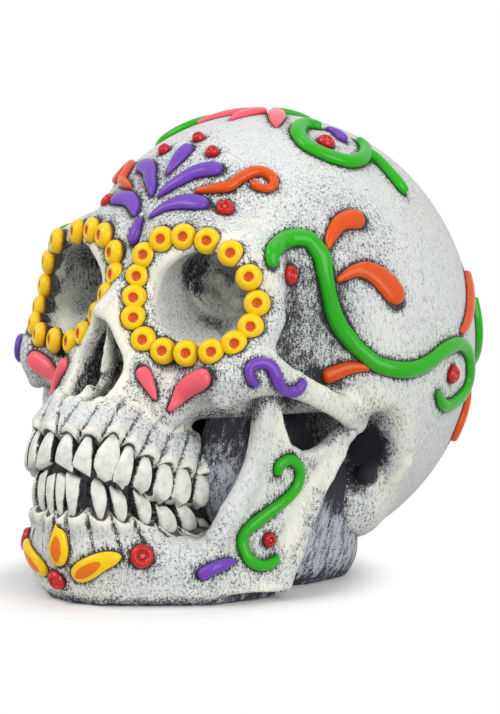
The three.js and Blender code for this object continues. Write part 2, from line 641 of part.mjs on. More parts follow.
// Domed gem with a small flat stone on top
const gemProfile = (radius) => [
  point2(0, -ROOT), point2(radius, -ROOT), point2(radius, 0.4 * GEM_HEIGHT),
  point2(0.6 * radius, GEM_HEIGHT), point2(0, GEM_HEIGHT),
];

const gem = (radius, at, place) => button(gemProfile(radius), 0.6 * radius, vector(at), place);
// Strip from rows of a point and the half width there, as a share of the full half width
function strip(rows, height, place, full = 1) {
  const points = vectors(rows);
  const halfAt = widthAlong(points, rows.map((row) => row[3] * full));
  return ribbon(points, halfAt, () => height, place);
}

// Ring of domed beads round the left eye, tied by a low neck between one bead and the next
function eyeRing() {
  const [x, y, z] = EYE_CENTRE;
  const swell = (value) => Math.sign(value) * Math.abs(value) ** (2 / RING_SQUARENESS);
  const centres = Array.from({ length: BEAD_COUNT }, (_, k) => {
    const angle = (2 * Math.PI * k) / BEAD_COUNT;
    const up = (EYE_HALF_HEIGHT + BEAD_RIM) * swell(Math.sin(angle));
    const across = (EYE_HALF_WIDTH + BEAD_RIM) * swell(Math.cos(angle));
    return new THREE.Vector3(x + across, y - RING_REACH + RING_LEAN * up, z + up);
  });
  const bead = (full, neck) => [neck, BEAD_SHOULDER * full, full, BEAD_SHOULDER * full];
  const beads = (full, neck) => Array.from({ length: BEAD_COUNT }, () => bead(full, neck)).flat();
  const round = (full, neck) => [...beads(full, neck), neck];
  const halfWidths = round(BEAD_RADIUS, NECK_HALF_WIDTH);
  const heights = round(BEAD_HEIGHT, NECK_HEIGHT);
  const halfAt = (share) => shareOf(halfWidths, share);
  return ribbon(centres, halfAt, (share) => shareOf(heights, share), ON_EYE, halfWidths.length - 1);
}

// Crown scroll: an open C with a thin tail leaving its outer end
function crownScroll() {
  const hook = strip([
    [27.1, 10.5, 170.1, 0.6], [24.3, 7.9, 171.2, 0.87], [23.6, 2.8, 171.4, 1], [26.8, -3.7, 169.4, 1.03],
    [30.9, -7.3, 166.9, 1], [35.5, -8.5, 164, 1], [39.7, -6.2, 161.7, 1], [43.4, -2.4, 159.5, 1],
    [45.8, 3.1, 158.2, 1], [45.6, 10, 158.6, 1], [43, 16.9, 160.3, 0.95], [38.4, 22.3, 162.8, 0.85],
    [33.9, 23.3, 165.4, 0.6],
  ], SCROLL_HEIGHT, ON_VAULT, CROWN_SCROLL_HALF_WIDTH);
  const tail = strip([
    [42, 19.3, 161.2, 2.2], [44.7, 21.2, 158.3, 2.4], [49.2, 22.4, 154, 2.4], [54.2, 24, 148.3, 2.6],
    [56.2, 25.6, 145.4, 1.4],
  ], PETAL_HEIGHT, ON_VAULT);
  return hook.add(tail);
}

// Flower on the crown: a petal to each side and one to the front, meeting in the middle
function crownFlower() {
  const side = strip([[18, -9, 171.5, 0.6], [14, -4.5, 173.2, 2.2], [8.5, 3, 175, 3.3], [1, 11, 176.2, 2.8]],
    PETAL_HEIGHT, ON_VAULT);
  const front = strip([[0, -12, 173.6, 0.6], [0, -6, 174.8, 2], [0, 2, 175.8, 2.8], [0, 9, 176, 2.4]],
    PETAL_HEIGHT, ON_VAULT);
  return bothSides(side).add(front);
}

// Paints and castings
const paint = (color, roughness) => new THREE.MeshStandardMaterial({ color, roughness, metalness: 0 });
const BONE = paint(0xdcdcd4, 0.75);
const CORE_GREY = paint(0x6d7078, 0.8);
const ENAMEL = paint(0xe6e4d6, 0.6);
const YELLOW = paint(0xf6d318, 0.35);
const ORANGE = paint(0xe8641c, 0.35);
const PURPLE = paint(0x6f3fb0, 0.35);
const GREEN = paint(0x2fb52a, 0.35);
const PINK = paint(0xef7088, 0.35);
const RED = paint(0xa81420, 0.25);

const skull = new THREE.Group();

function addMesh(name, geometry, material) {
  const mesh = new THREE.Mesh(geometry, material);
  mesh.name = name;
  skull.add(mesh);
}

const addPiece = (name, solid, material) => addMesh(name, geometryOf(solid), material);

function addPair(name, solid, material) {
  const left = geometryOf(solid);
  addMesh(`${name}_left`, left, material);
  addMesh(`${name}_right`, mirrored(left), material);
}

addPiece('cranium', cranium, BONE);
addPiece('lower_jaw', jaw, BONE);
addPiece('support_core', core, CORE_GREY);
addPiece('upper_tooth_row', upperTeeth, ENAMEL);
addPiece('lower_tooth_row', lowerTeeth, ENAMEL);

addPair('eye_bead_ring', eyeRing(), YELLOW);

// Forehead fan
addPiece('forehead_petal_centre', strip([
  [0, -48.5, 154, 0.5], [0, -46, 156.4, 1.6], [0, -43, 158.8, 2.6], [0, -39.2, 161.7, 3.3],
  [0, -35, 164.3, 2.8],
], PETAL_HEIGHT, ON_VAULT), PURPLE);
addPair('forehead_petal_long', strip([
  [1.6, -55.3, 146.2, 0.5], [3.6, -52.8, 149, 1.8], [7.3, -49.6, 152.1, 2.5], [11.2, -45.7, 155.1, 3],
  [15.9, -42.8, 156.4, 3.4], [20.8, -40.6, 156.5, 2.7],
], PETAL_HEIGHT, ON_VAULT), PURPLE);
addPair('forehead_petal_low', strip([
  [3.6, -62.4, 139, 0.5], [5.6, -60.3, 141.2, 1.9], [9, -57.4, 143.5, 2.9], [13.8, -55, 144.7, 3.5],
  [19.4, -53.2, 144.5, 3.7], [23.8, -51.9, 144.2, 2.9],
], PETAL_HEIGHT, ON_FACE), PURPLE);
addPiece('forehead_drop', strip([
  [0, -62.1, 139.3, 0.5], [0, -64.9, 135.8, 1.9], [0, -66.6, 132.4, 2.6], [0, -67.8, 128.8, 2],
], PETAL_HEIGHT, ON_FACE), PURPLE);
addPiece('forehead_gem_top', gem(SMALL_GEM_RADIUS, [0, -30.3, 167], ON_VAULT), RED);
addPair('forehead_gem_inner', gem(SMALL_GEM_RADIUS, [12, -36.2, 162.3], ON_VAULT), RED);
addPair('forehead_gem_side', gem(GEM_RADIUS, [29.3, -49.2, 143], ON_VAULT), RED);
addPair('forehead_curl', strip([
  [15.6, -50.9, 148.4, 0.25], [18.4, -49.4, 148.9, 0.6], [22.8, -46.6, 149.7, 0.9], [26.5, -43.8, 150.4, 1],
  [28.2, -39.8, 153, 1], [29.4, -37, 154.5, 1.05], [30.6, -34.7, 155.5, 1.05], [32.6, -32.5, 155.7, 1],
  [35.6, -31.1, 154.4, 0.95], [37.9, -31.5, 152.4, 0.85], [38.6, -33.6, 150.2, 0.85],
  [36.9, -35.8, 149.9, 0.75],
  [33.8, -37.8, 150.7, 0.5], [31.9, -38.8, 151.2, 0.25],
], PETAL_HEIGHT, ON_VAULT, CURL_HALF_WIDTH), ORANGE);

// Cheeks
addPair('cheek_petal_inner', strip([
  [25, -82.4, 74.6, 0.5], [23.4, -82.2, 77, 1.4], [21.6, -82.3, 79.8, 2.1], [19.9, -82.8, 83, 2.6],
  [18, -83.6, 86.2, 2],
], PETAL_HEIGHT, ON_FACE), PINK);
addPair('cheek_petal_outer', strip([
  [28.4, -79.8, 70.8, 0.7], [28.6, -76.8, 73.6, 2], [30.6, -75, 76.8, 2.9],
  [EYE_OUTER - 15.5, -75, 79.9, 3.8],
  [EYE_OUTER - 9.8, -76.4, 82.7, 4], [EYE_OUTER - 5.2, -76.4, 85.2, 2.8],
], PETAL_HEIGHT, ON_FACE), PINK);
addPair('cheekbone_squiggle', strip([
  [EYE_OUTER + 9.3, -65.8, 81, 0.6], [EYE_OUTER + 8.2, -68.3, 83.2, 0.8],
  [EYE_OUTER + 7.6, -68.9, 86.9, 0.85],
  [EYE_OUTER + 8.4, -67.4, 88.9, 0.95], [EYE_OUTER + 10.3, -64.6, 89.5, 1],
  [EYE_OUTER + 13, -61, 88, 1.05], [EYE_OUTER + 14, -57, 82, 1], [EYE_OUTER + 15, -52, 78, 1],
  [EYE_OUTER + 16, -48, 79, 0.6],
], PETAL_HEIGHT, ON_CHEEK, SQUIGGLE_HALF_WIDTH), PURPLE);

// Temples and back
addPair('temple_scroll', strip([
  [EYE_OUTER + 5, -52.7, 122.3, 0.6], [EYE_OUTER + 3.8, -50.9, 128, 0.9],
  [EYE_OUTER + 1.4, -43.4, 131, 0.97],
  [EYE_OUTER + 0.7, -37.7, 132.1, 1.03], [EYE_OUTER + 2.5, -34.2, 132.2, 1.03],
  [EYE_OUTER + 4.8, -31.5, 131.2, 1],
  [EYE_OUTER + 7.4, -30, 128, 1.03], [59.3, -29.2, 124.5, 1.05], [60.3, -29.3, 120, 1],
  [61, -28.8, 115.7, 0.92], [61.4, -27.7, 110.2, 0.92], [61.8, -25.6, 103.9, 1], [62.9, -23.1, 98.7, 1],
  [64.8, -20, 94.1, 0.97], [66.3, -18.1, 91.3, 0.92], [69, -14.8, 87.6, 0.9], [72, -11.3, 84.4, 0.94],
  [75.8, -4.2, 82.4, 0.97], [77.1, 3.7, 82.1, 0.97], [77.4, 12.7, 84.1, 0.94], [77, 20.9, 87.1, 0.92],
  [76.1, 27.5, 88.3, 0.9], [74.4, 35.6, 88.4, 0.88], [72, 43.5, 85, 0.88], [70.2, 47.7, 80, 0.88],
  [68.9, 49.3, 73.4, 0.85], [69.5, 45.9, 69, 0.82], [71.5, 38, 66.2, 0.8], [73.4, 29.1, 65.3, 0.76],
  [74.8, 23.4, 67.5, 0.66], [76.2, 19.5, 72, 0.45],
], SCROLL_HEIGHT, ON_VAULT, TEMPLE_SCROLL_HALF_WIDTH), GREEN);
addPair('temple_gem_front', gem(GEM_RADIUS, [EYE_OUTER + 5, -41.9, 119], ON_VAULT), RED);
addPair('temple_gem_rear', gem(GEM_RADIUS, [75.3, 30.5, 77.2], ON_VAULT), RED);
addPair('temple_leaf_upper', strip([
  [59.5, -25.8, 128.4, 0.7], [58.7, -24, 131.3, 1.9], [58.4, -21.1, 134.2, 2.6], [58.3, -17.7, 136.8, 3.1],
  [58.8, -14.4, 137.8, 3.6], [59.7, -10.9, 138, 4], [61, -6.6, 137.4, 3.2],
], PETAL_HEIGHT, ON_VAULT), ORANGE);
addPair('temple_leaf_middle', strip([
  [63.2, -24.9, 116.4, 0.8], [64.6, -22, 118.1, 1.8], [66.1, -18.1, 119.7, 2.4], [67.5, -14.2, 119.8, 3.3],
  [69, -10.7, 118.4, 4], [70.5, -7.9, 116.2, 4.6], [71.9, -5.3, 113.4, 5], [73.2, -3.3, 110.1, 4.8],
  [74.2, -2.4, 106.3, 3.4],
], PETAL_HEIGHT, ON_VAULT), ORANGE);
addPair('temple_leaf_lower', strip([
  [69.3, -14.6, 82.2, 0.6], [68.3, -15.6, 83.2, 1.3], [66.4, -17.6, 83.8, 2], [63.8, -20.4, 83.4, 2.5],
  [60.9, -24, 81.8, 2.9], [58.6, -27.4, 80, 2.4],
], PETAL_HEIGHT, ON_VAULT), ORANGE);
addPair('back_leaf_upper', strip([
  [73.6, 37.2, 92.6, 0.8], [72.2, 41.6, 94, 2], [69.3, 48.4, 98.1, 2.8], [65.4, 54.4, 103.7, 3.3],
  [62.2, 58.2, 108.3, 3.3], [58.3, 62, 113.2, 2.5],
], PETAL_HEIGHT, ON_VAULT), ORANGE);
addPair('back_leaf_lower', strip([
  [66.3, 53.5, 70, 0.7], [64.7, 54.4, 65.1, 1.9], [62.9, 54.4, 59.5, 2.7], [61.4, 52.8, 53.3, 3],
  [58.8, 53, 47.6, 2.2],
], PETAL_HEIGHT, ON_VAULT), ORANGE);
const backHalf = [[57, 67, 103], [58, 68, 93], [55, 71, 84], [45, 80, 75], [28, 90, 69], [0, 97, 66]];
const backPath = wholePath(vectors(backHalf).reverse());
const backWidths = [1.6, 2.6, 2.6, 2.6, 2.6, 1.6];
addPiece('back_scroll', ribbon(backPath, (share) => shareOf(backWidths, share),
  () => SCROLL_HEIGHT, ON_VAULT), GREEN);

// Crown
addPiece('crown_flower', crownFlower(), PINK);
addPair('crown_scroll', crownScroll(), GREEN);
addPair('crown_gem', gem(GEM_RADIUS, [35.9, 2, 165.4], ON_VAULT), RED);

// Jaw and chin
addPair('jaw_scroll', strip([
  [56.9, -51.4, 46.4, 0.6], [57.1, -51.1, 49.8, 0.85], [57.7, -48.1, 51.7, 0.92], [58.1, -45.5, 51.7, 0.9],
  [58.5, -42.2, 49.5, 0.96], [58.5, -40.1, 45.7, 1.08], [58.2, -41.2, 41.4, 1.08],
  [57.6, -44.9, 38.2, 1.05],
  [56.2, -50.3, 35.5, 0.97], [54, -56.4, 31.8, 1.05], [52.8, -60.7, 28.7, 1.08], [52.1, -63.7, 25, 1.05],
  [51.4, -63.5, 20.3, 1], [52.3, -61.5, 16.1, 1.03], [54.2, -57.2, 13.9, 0.93], [56, -51.8, 14.8, 0.86],
  [57, -48.6, 17, 0.5],
], PETAL_HEIGHT, ON_RAMUS, JAW_SCROLL_HALF_WIDTH), GREEN);
addPair('jaw_gem', gem(SMALL_GEM_RADIUS, [54.7, -53.8, 23], ON_RAMUS), RED);
addPair('jaw_drop', strip([
  [50.8, -67.9, 17, 0.6], [49.5, -71.6, 16.3, 1.9], [47.3, -76.2, 15, 2.2], [44.7, -79.3, 13, 2.2],
  [43.4, -80.8, 12.2, 1.8],
], PETAL_HEIGHT, ON_CHIN), PURPLE);
addPiece('chin_petal_top', strip([
  [0.5, -106, 32.2, 0.5], [1.5, -107.3, 28.6, 2.3], [2, -108, 24.4, 4], [2, -108.5, 20.5, 4.2],
  [1.5, -108.5, 16, 2.6],
], PETAL_HEIGHT, ON_CHIN), YELLOW);
addPair('chin_petal_side', strip([
  [23.5, -99.6, 19.9, 0.5], [21.4, -101.5, 19.2, 2.4], [17.1, -104.6, 17.5, 3.6], [11.8, -106.6, 14.2, 4],
  [7, -107, 11, 2.8],
], PETAL_HEIGHT, ON_CHIN), YELLOW);
addPiece('chin_gem_centre', gem(GEM_RADIUS, [-1, -108, 8.8], ON_CHIN), RED);
addPair('chin_gem_side', gem(CHIN_GEM_RADIUS, [28, -94, 19.5], ON_CHIN), RED);

// Origin under the middle of the whole object
const extent = new THREE.Box3().setFromObject(skull);
skull.position.y = -(extent.min.y + extent.max.y) / 2;

export default skull;
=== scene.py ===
# %% [markdown]
# # A painted sugar skull
# The real object is a life-size skull cast in rigid foam. It is painted black, dry-brushed with white, and
# trimmed with raised beads, petals, leaves and scrolls in bright satin paint. This lesson models the
# castings as clay whose surface is worked out from distances, the trim as profiles carried along paths on
# that clay, and the paint as procedural materials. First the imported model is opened, because every piece
# stands where its solids stand.

import bpy
import numpy as np
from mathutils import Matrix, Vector


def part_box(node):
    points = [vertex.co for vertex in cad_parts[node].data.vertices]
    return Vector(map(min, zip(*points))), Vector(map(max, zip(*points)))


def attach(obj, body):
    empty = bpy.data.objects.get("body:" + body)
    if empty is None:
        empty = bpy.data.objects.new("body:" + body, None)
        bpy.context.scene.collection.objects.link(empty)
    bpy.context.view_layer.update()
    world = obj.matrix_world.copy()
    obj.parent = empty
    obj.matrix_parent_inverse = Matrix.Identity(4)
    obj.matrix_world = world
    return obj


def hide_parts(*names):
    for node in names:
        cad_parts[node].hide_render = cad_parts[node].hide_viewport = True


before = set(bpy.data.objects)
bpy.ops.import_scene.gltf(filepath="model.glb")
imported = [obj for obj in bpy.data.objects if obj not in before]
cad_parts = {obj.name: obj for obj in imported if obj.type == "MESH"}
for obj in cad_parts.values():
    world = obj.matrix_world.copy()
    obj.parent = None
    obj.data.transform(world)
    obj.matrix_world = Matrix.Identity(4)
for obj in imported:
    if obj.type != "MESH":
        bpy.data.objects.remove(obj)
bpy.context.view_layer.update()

# %% [markdown]
# ## Millimetres first, metres last
# A maker measures a skull in millimetres from a point between the ears, so all the points below are written
# that way. The filling of the mouth has its front at a known place in those measures and in the packed
# model, and the difference between the two moves every finished point into the shared frame.

# %% Measures
MM = 0.001
MOUTH_FRONT = -86.0
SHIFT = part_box("support_core")[0][1] / MM - MOUTH_FRONT


def in_frame(points):
    """Moves points from the maker's millimetres to the metres of the frame: add the shift, then scale."""
    return (np.asarray(points, float) + (0.0, SHIFT, 0.0)) * MM


print("points move", round(SHIFT, 2), "mm along Y")

# %% [markdown]
# ## The camera
# The photograph looks at the skull from its left front, a little from above, through a long lens. A camera
# that is set by its direction, its distance and the width of its view gives the same outline, so it is made
# first and every later render can be laid beside the photograph.

# %% Camera
CAMERA_SIDE, CAMERA_RISE = np.radians(40.0), np.radians(6.8)
CAMERA_DISTANCE, CAMERA_AIM = 1200.0, (0.0, 0.0, 81.0)
IMAGE_HEIGHT, PIXELS_PER_MM = 714, 2.59

level = np.cos(CAMERA_RISE)
back = Vector((np.sin(CAMERA_SIDE) * level, -np.cos(CAMERA_SIDE) * level, np.sin(CAMERA_RISE)))
lens = bpy.data.cameras.new("camera")
lens.sensor_fit = "VERTICAL"
lens.sensor_height = 36.0
lens.lens = lens.sensor_height * PIXELS_PER_MM * CAMERA_DISTANCE / IMAGE_HEIGHT
camera = bpy.data.objects.new("camera", lens)
camera.location = Vector(in_frame(CAMERA_AIM)) + back * CAMERA_DISTANCE * MM
camera.rotation_euler = back.to_track_quat("Z", "Y").to_euler()
bpy.context.scene.collection.objects.link(camera)
bpy.context.scene.camera = camera
print("a lens of", round(lens.lens), "mm")

# %% [markdown]
# ## Clay
# Bone is all soft transitions: a brow runs into a temple, a cheek into an arch. Grids of patches would need
# a seam at each of them. So the castings are clay: a box of grid points, each of which holds its distance
# to the surface, below zero inside. Adding a lump keeps the smaller of two distances, and pressing a hollow
# keeps the larger, both rounded where the two are close. The skull is even, so only its left half is
# stored.

# %% Clay
FAR = 500.0


def blend_low(a, b, soft):
    """The smaller of two distances, less a quarter of soft where they are equal, fading out at soft apart."""
    near = np.maximum(soft - np.abs(a - b), 0.0) / soft
    return np.minimum(a, b) - near * near * soft / 4


class Clay:
    """Distances on a grid over the left half of a casting; the right half is its mirror image."""

    def __init__(self, rulers):
        self.rulers = [np.asarray(ruler, np.float32) for ruler in rulers]
        self.depth = np.full([len(ruler) for ruler in self.rulers], FAR, np.float32)

    def copy(self):
        twin = Clay(self.rulers)
        twin.depth = self.depth.copy()
        return twin

    def window(self, low, high):
        """The block of grid points between two corners, as slices."""
        ends = [np.searchsorted(r, (a, b)) for r, a, b in zip(self.rulers, low, high)]
        return tuple(slice(max(0, a - 1), b + 1) for a, b in ends)

    def press(self, shape, soft, side):
        """Blends a shape into the grid points near it: side is 1 to join it on and -1 to take it away."""
        distance, low, high = shape
        room = soft + 4.0
        cells = self.window(np.subtract(low, room), np.add(high, room))
        points = np.stack(np.meshgrid(*[r[s] for r, s in zip(self.rulers, cells)], indexing="ij"), -1)
        if points.size:
            self.depth[cells] = side * blend_low(side * self.depth[cells], distance(points), soft)

    def add(self, shape, soft=1.0):
        """Joins a lump on, with a fillet of about soft."""
        self.press(shape, soft, 1)

    def cut(self, shape, soft=1.0):
        """Takes a lump away, with an edge rounded by about soft."""
        self.press(shape, soft, -1)

    def at(self, points):
        """Distance at points: a mean of the eight grid points round each, plus the way in from outside."""
        points = np.array(points, np.float32)
        points[..., 0] = np.abs(points[..., 0])
        cells, shares, beyond = [], [], 0.0
        for axis, ruler in enumerate(self.rulers):
            cell = np.clip(np.searchsorted(ruler, points[..., axis]) - 1, 0, len(ruler) - 2)
            beyond = beyond + (points[..., axis] - np.clip(points[..., axis], ruler[0], ruler[-1])) ** 2
            cells.append(cell)
            shares.append(np.clip((points[..., axis] - ruler[cell]) / (ruler[cell + 1] - ruler[cell]), 0, 1))
        total = 0.0
        for corner in np.ndindex(2, 2, 2):
            weights = [share if far else 1 - share for share, far in zip(shares, corner)]
            place = tuple(cell + far for cell, far in zip(cells, corner))
            total = total + weights[0] * weights[1] * weights[2] * self.depth[place]
        return total + np.sqrt(beyond)

    def outward(self, points, reach=1.2):
        """Unit slope of the distance, from differences over a short reach along each axis."""
        steps = np.eye(3) * reach
        slope = np.stack([self.at(points + step) - self.at(points - step) for step in steps], -1)
        return slope / np.maximum(np.linalg.norm(slope, axis=-1, keepdims=True), 1e-6)


print("clay is ready")

# %% [markdown]
# ## Lumps for the clay
# Four lumps are enough for a skull: an egg, a rounded block, a limb that tapers from point to point, and a
# flat plate cut to an outline. Each gives its distance as a formula, and the corners of the box that it
# fills.

# %% Lumps


def turned(axis, degrees):
    """Rotation matrix about one axis."""
    c, s = np.cos(np.radians(degrees)), np.sin(np.radians(degrees))
    i, j = {"x": (1, 2), "y": (2, 0), "z": (0, 1)}[axis]
    matrix = np.eye(3)
    matrix[i, i], matrix[i, j], matrix[j, i], matrix[j, j] = c, -s, s, c
    return matrix


def egg(centre, half, turn=np.eye(3)):
    """Ellipsoid: with q the point over the half sizes, about |q| (|q| - 1) / |q over the half sizes|."""
    centre, half = np.array(centre, np.float32), np.array(half, np.float32)
    reach = np.sqrt(((turn * half) ** 2).sum(1))

    def distance(points):
        q = ((points - centre) @ turn.astype(np.float32)) / half
        size = np.linalg.norm(q, axis=-1) + 1e-6
        return size * (size - 1) / (np.linalg.norm(q / half, axis=-1) + 1e-9)

    return distance, centre - reach, centre + reach


def block(centre, half, corner, turn=np.eye(3)):
    """Rounded box: the distance to a smaller box, less the radius of its corners."""
    centre, half = np.array(centre, np.float32), np.array(half, np.float32)
    reach = (np.abs(turn) * half).sum(1)

    def distance(points):
        q = np.abs((points - centre) @ turn.astype(np.float32)) - (half - corner)
        return np.linalg.norm(np.maximum(q, 0), axis=-1) + np.minimum(q.max(-1), 0) - corner

    return distance, centre - reach, centre + reach


def limb(points, radii, stretch=(1, 1, 1)):
    """Tapering limb: the distance to the nearest stretch of a line, less its radius there."""
    stretch = np.array(stretch, np.float32)
    points, radii = np.array(points, np.float32), np.array(radii, np.float32)
    joints = points / stretch

    def distance(where):
        where = where / stretch
        best = None
        for a, b, ra, rb in zip(joints, joints[1:], radii, radii[1:]):
            way = b - a
            share = np.clip(((where - a) @ way) / (way @ way), 0, 1)
            gap = np.linalg.norm(where - a - share[..., None] * way, axis=-1) - (ra + share * (rb - ra))
            best = gap if best is None else blend_low(best, gap, 1.0)
        return best * stretch.min()

    reach = radii[:, None] * stretch
    return distance, (points - reach).min(0), (points + reach).max(0)


print("three round lumps: egg, block, limb")

# %% [markdown]
# ## Plates
# The upright part of the jaw is flat and has an outline of its own, so it needs the fourth lump. A plate
# joins two distances: the one to its outline, measured in the plane, and the one to its mid-plane, which may
# bend.

# %% Plates


def outline_distance(flat, corners):
    """Distance to a closed outline in its plane: the nearest edge, with the sign from counting crossings."""
    nearest, side = np.full(flat.shape[:-1], 1e9, np.float32), np.ones(flat.shape[:-1], np.float32)
    for a, b in zip(corners, np.roll(corners, 1, 0)):
        edge, gap = b - a, flat - a
        share = np.clip((gap @ edge) / (edge @ edge), 0, 1)
        nearest = np.minimum(nearest, ((gap - share[..., None] * edge) ** 2).sum(-1))
        above, under = flat[..., 1] >= a[1], flat[..., 1] < b[1]
        turns = edge[0] * gap[..., 1] > edge[1] * gap[..., 0]
        side = np.where((above & under & turns) | ~(above | under | turns), -side, side)
    return side * np.sqrt(nearest)


def plate(outline, middle, half, corner):
    """Plate across X: an outline in Y and Z, its mid-plane given by a function of Y and Z."""
    outline = np.array(outline, np.float32)

    def distance(points):
        flat = points[..., 1:]
        rim = outline_distance(flat, outline) + corner
        face = np.abs(points[..., 0] - middle(flat[..., 0], flat[..., 1])) - (half - corner)
        outside = np.sqrt(np.maximum(rim, 0) ** 2 + np.maximum(face, 0) ** 2)
        return np.minimum(np.maximum(rim, face), 0) + outside - corner

    across = middle(outline[:, 0], outline[:, 1])
    low = (across.min() - half - 4, *outline.min(0))
    high = (across.max() + half + 4, *outline.max(0))
    return distance, np.array(low), np.array(high)


print("the fourth lump: plate")

# %% [markdown]
# ## From clay to a mesh
# The surface is where the distance is zero. Surface nets put one point in every cell that the surface
# crosses, at the mean of the crossings on the cell's edges, and one four-sided face round every grid edge
# that it crosses. The rulers of the grid may be finer where there is more to show, such as the face.

# %% Surface nets


def net(clay):
    """Points and outward faces of the zero level of a whole casting, mirrored first to the right half."""
    depth = np.concatenate([clay.depth[:0:-1], clay.depth], 0)
    rulers = [np.concatenate([-clay.rulers[0][:0:-1], clay.rulers[0]]), clay.rulers[1], clay.rulers[2]]
    inside = depth < 0
    nx, ny, nz = depth.shape
    corners = np.array(list(np.ndindex(2, 2, 2)))
    count = sum(inside[i:nx - 1 + i, j:ny - 1 + j, k:nz - 1 + k].astype(np.int8) for i, j, k in corners)
    crossed = (count > 0) & (count < 8)
    cells = np.argwhere(crossed)
    numbers = np.full(crossed.shape, -1, np.int64)
    numbers[crossed] = np.arange(len(cells))
    values = np.stack([depth[tuple((cells + corner).T)] for corner in corners], 1)
    total, hits = np.zeros((len(cells), 3)), np.zeros(len(cells))
    for a in range(8):
        for b in range(a + 1, 8):
            if np.abs(corners[a] - corners[b]).sum() == 1:
                hit = (values[:, a] < 0) != (values[:, b] < 0)
                share = np.where(hit, values[:, a] / np.where(hit, values[:, a] - values[:, b], 1), 0)
                total += hit[:, None] * (corners[a] + share[:, None] * (corners[b] - corners[a]))
                hits += hit
    spots = cells + total / hits[:, None]
    points = np.stack([np.interp(spots[:, i], np.arange(len(r)), r) for i, r in enumerate(rulers)], 1)
    faces = []
    for axis in range(3):
        u, v = (axis + 1) % 3, (axis + 2) % 3
        first = np.take(inside, range(depth.shape[axis] - 1), axis)
        second = np.take(inside, range(1, depth.shape[axis]), axis)
        edges = np.argwhere(first != second)
        end_u, end_v = depth.shape[u] - 1, depth.shape[v] - 1
        edges = edges[(edges[:, u] > 0) & (edges[:, v] > 0) & (edges[:, u] < end_u) & (edges[:, v] < end_v)]
        ring = []
        for du, dv in ((1, 1), (0, 1), (0, 0), (1, 0)):
            cell = edges.copy()
            cell[:, u] -= du
            cell[:, v] -= dv
            ring.append(numbers[tuple(cell.T)])
        ring = np.stack(ring, 1)
        leaves = inside[tuple(edges.T)]
        faces.append(np.where(leaves[:, None], ring, ring[:, ::-1]))
    return points, np.concatenate(faces)


print("nets are ready")

# %% [markdown]
# ## Where the teeth stand
# A row of teeth follows two arches, one along the biting edges and one along the gum, which is narrower
# because the front teeth lean out. Real arches are squarer than an ellipse in front. Each tooth has its
# place along the arch, its width and its kind, how much longer it is at the edge, and how much further its
# neck lies. The bone needs these before it is made, because the gum is cut out round every neck and swells
# over every root.

# %% Tooth places
# Arches are half width, depth, front and squareness. Heights are those in front, and slopes their fall to the
# back. Slant is how far a root leans along the arch for each millimetre of height.
ROWS = {
    "upper": dict(edge=(32.6, 51.4, -112.4, 2.6), gum=(29.7, 48.6, -106.8, 2.55), edge_height=51.95,
                  edge_slope=0.37, gum_height=63.3, gum_slope=0.40, end=70.0, slant=0.42),
    "lower": dict(edge=(28.6, 47.4, -110.6, 2.25), gum=(27.5, 48.8, -109.0, 2.4), edge_height=47.6,
                  edge_slope=0.35, gum_height=33.9, gum_slope=0.23, end=67.0, slant=0.1),
}
TEETH = {  # along the arch, width, kind, longer at the edge, longer at the neck
    "upper": [(5.0, 8.4, "cutting", -0.5, 0.2), (13.4, 7.2, "cutting", -0.4, 0.4),
              (22.5, 9.2, "pointed", 0.4, 3.6), (29.2, 6.5, "pair", 0.4, 1.0),
              (37.0, 7.0, "pair", 0.0, -1.2), (45.8, 8.8, "grinding", 1.5, -1.2),
              (54.9, 9.4, "grinding", 0.4, -0.4), (65.4, 8.4, "grinding", -1.1, 0.0)],
    "lower": [(2.4, 4.6, "cutting", 0.0, 0.8), (7.6, 5.8, "cutting", 0.8, -0.2),
              (17.8, 6.2, "pointed", 1.5, -0.4), (25.3, 6.5, "pair", -0.4, -0.6),
              (34.9, 7.4, "pair", 0.8, -1.0), (44.9, 9.8, "grinding", -1.9, 1.9),
              (55.5, 10.0, "grinding", 1.1, -0.4), (64.6, 7.0, "grinding", -2.0, 0.0)],
}
ARCH_MIDDLE = (0.0, -60.0, 0.0)


def unit(vectors):
    """Vectors of length one."""
    return vectors / np.maximum(np.linalg.norm(vectors, axis=-1, keepdims=True), 1e-9)


def along_arch(arch, run):
    """Points on |x/a|^n + |y/b|^n = 1 (half width a, depth b, squareness n) at shares of its quarter."""
    half, deep, front, square = arch
    angle = np.linspace(0, np.pi / 2 * 1.08, 600)
    x, c = half * np.sin(angle) ** (2 / square), np.cos(angle)
    y = front + deep * (1 - np.sign(c) * np.abs(c) ** (2 / square))
    length = np.concatenate([[0], np.cumsum(np.hypot(np.diff(x), np.diff(y)))])
    full = np.interp(np.pi / 2, angle, length)
    return np.stack([np.interp(np.multiply(run, full), length, a) for a in (x, y)], -1), full


def tooth_places(row, run):
    """Edge and gum points at distances along the edge arch; heights fall evenly towards the back."""
    shape = ROWS[row]
    full = along_arch(shape["edge"], 0.0)[1]
    edge, gum = (along_arch(shape[name], np.divide(run, full))[0] for name in ("edge", "gum"))
    edge_up = shape["edge_height"] - shape["edge_slope"] * (edge[..., 1] - shape["edge"][2])
    gum_up = shape["gum_height"] - shape["gum_slope"] * (gum[..., 1] - shape["gum"][2])
    return np.concatenate([edge, edge_up[..., None]], -1), np.concatenate([gum, gum_up[..., None]], -1)


def arch_frame(row, run):
    """Gum points with three directions at each: away from the edge, outwards, and along the arch."""
    edge, gum = tooth_places(row, run)
    _, ahead = tooth_places(row, np.add(run, 0.3))
    away, along = unit(gum - edge), unit(ahead - gum)
    out = unit(np.cross(along, away))
    outwards = (out * (gum - ARCH_MIDDLE) * (1, 1, 0)).sum(-1, keepdims=True)
    return gum, away, out * np.sign(outwards), along


for row, teeth in TEETH.items():
    edge, gum = tooth_places(row, [tooth[0] for tooth in teeth])
    print(row, "teeth from", edge[0].round(1), "to", edge[-1].round(1))

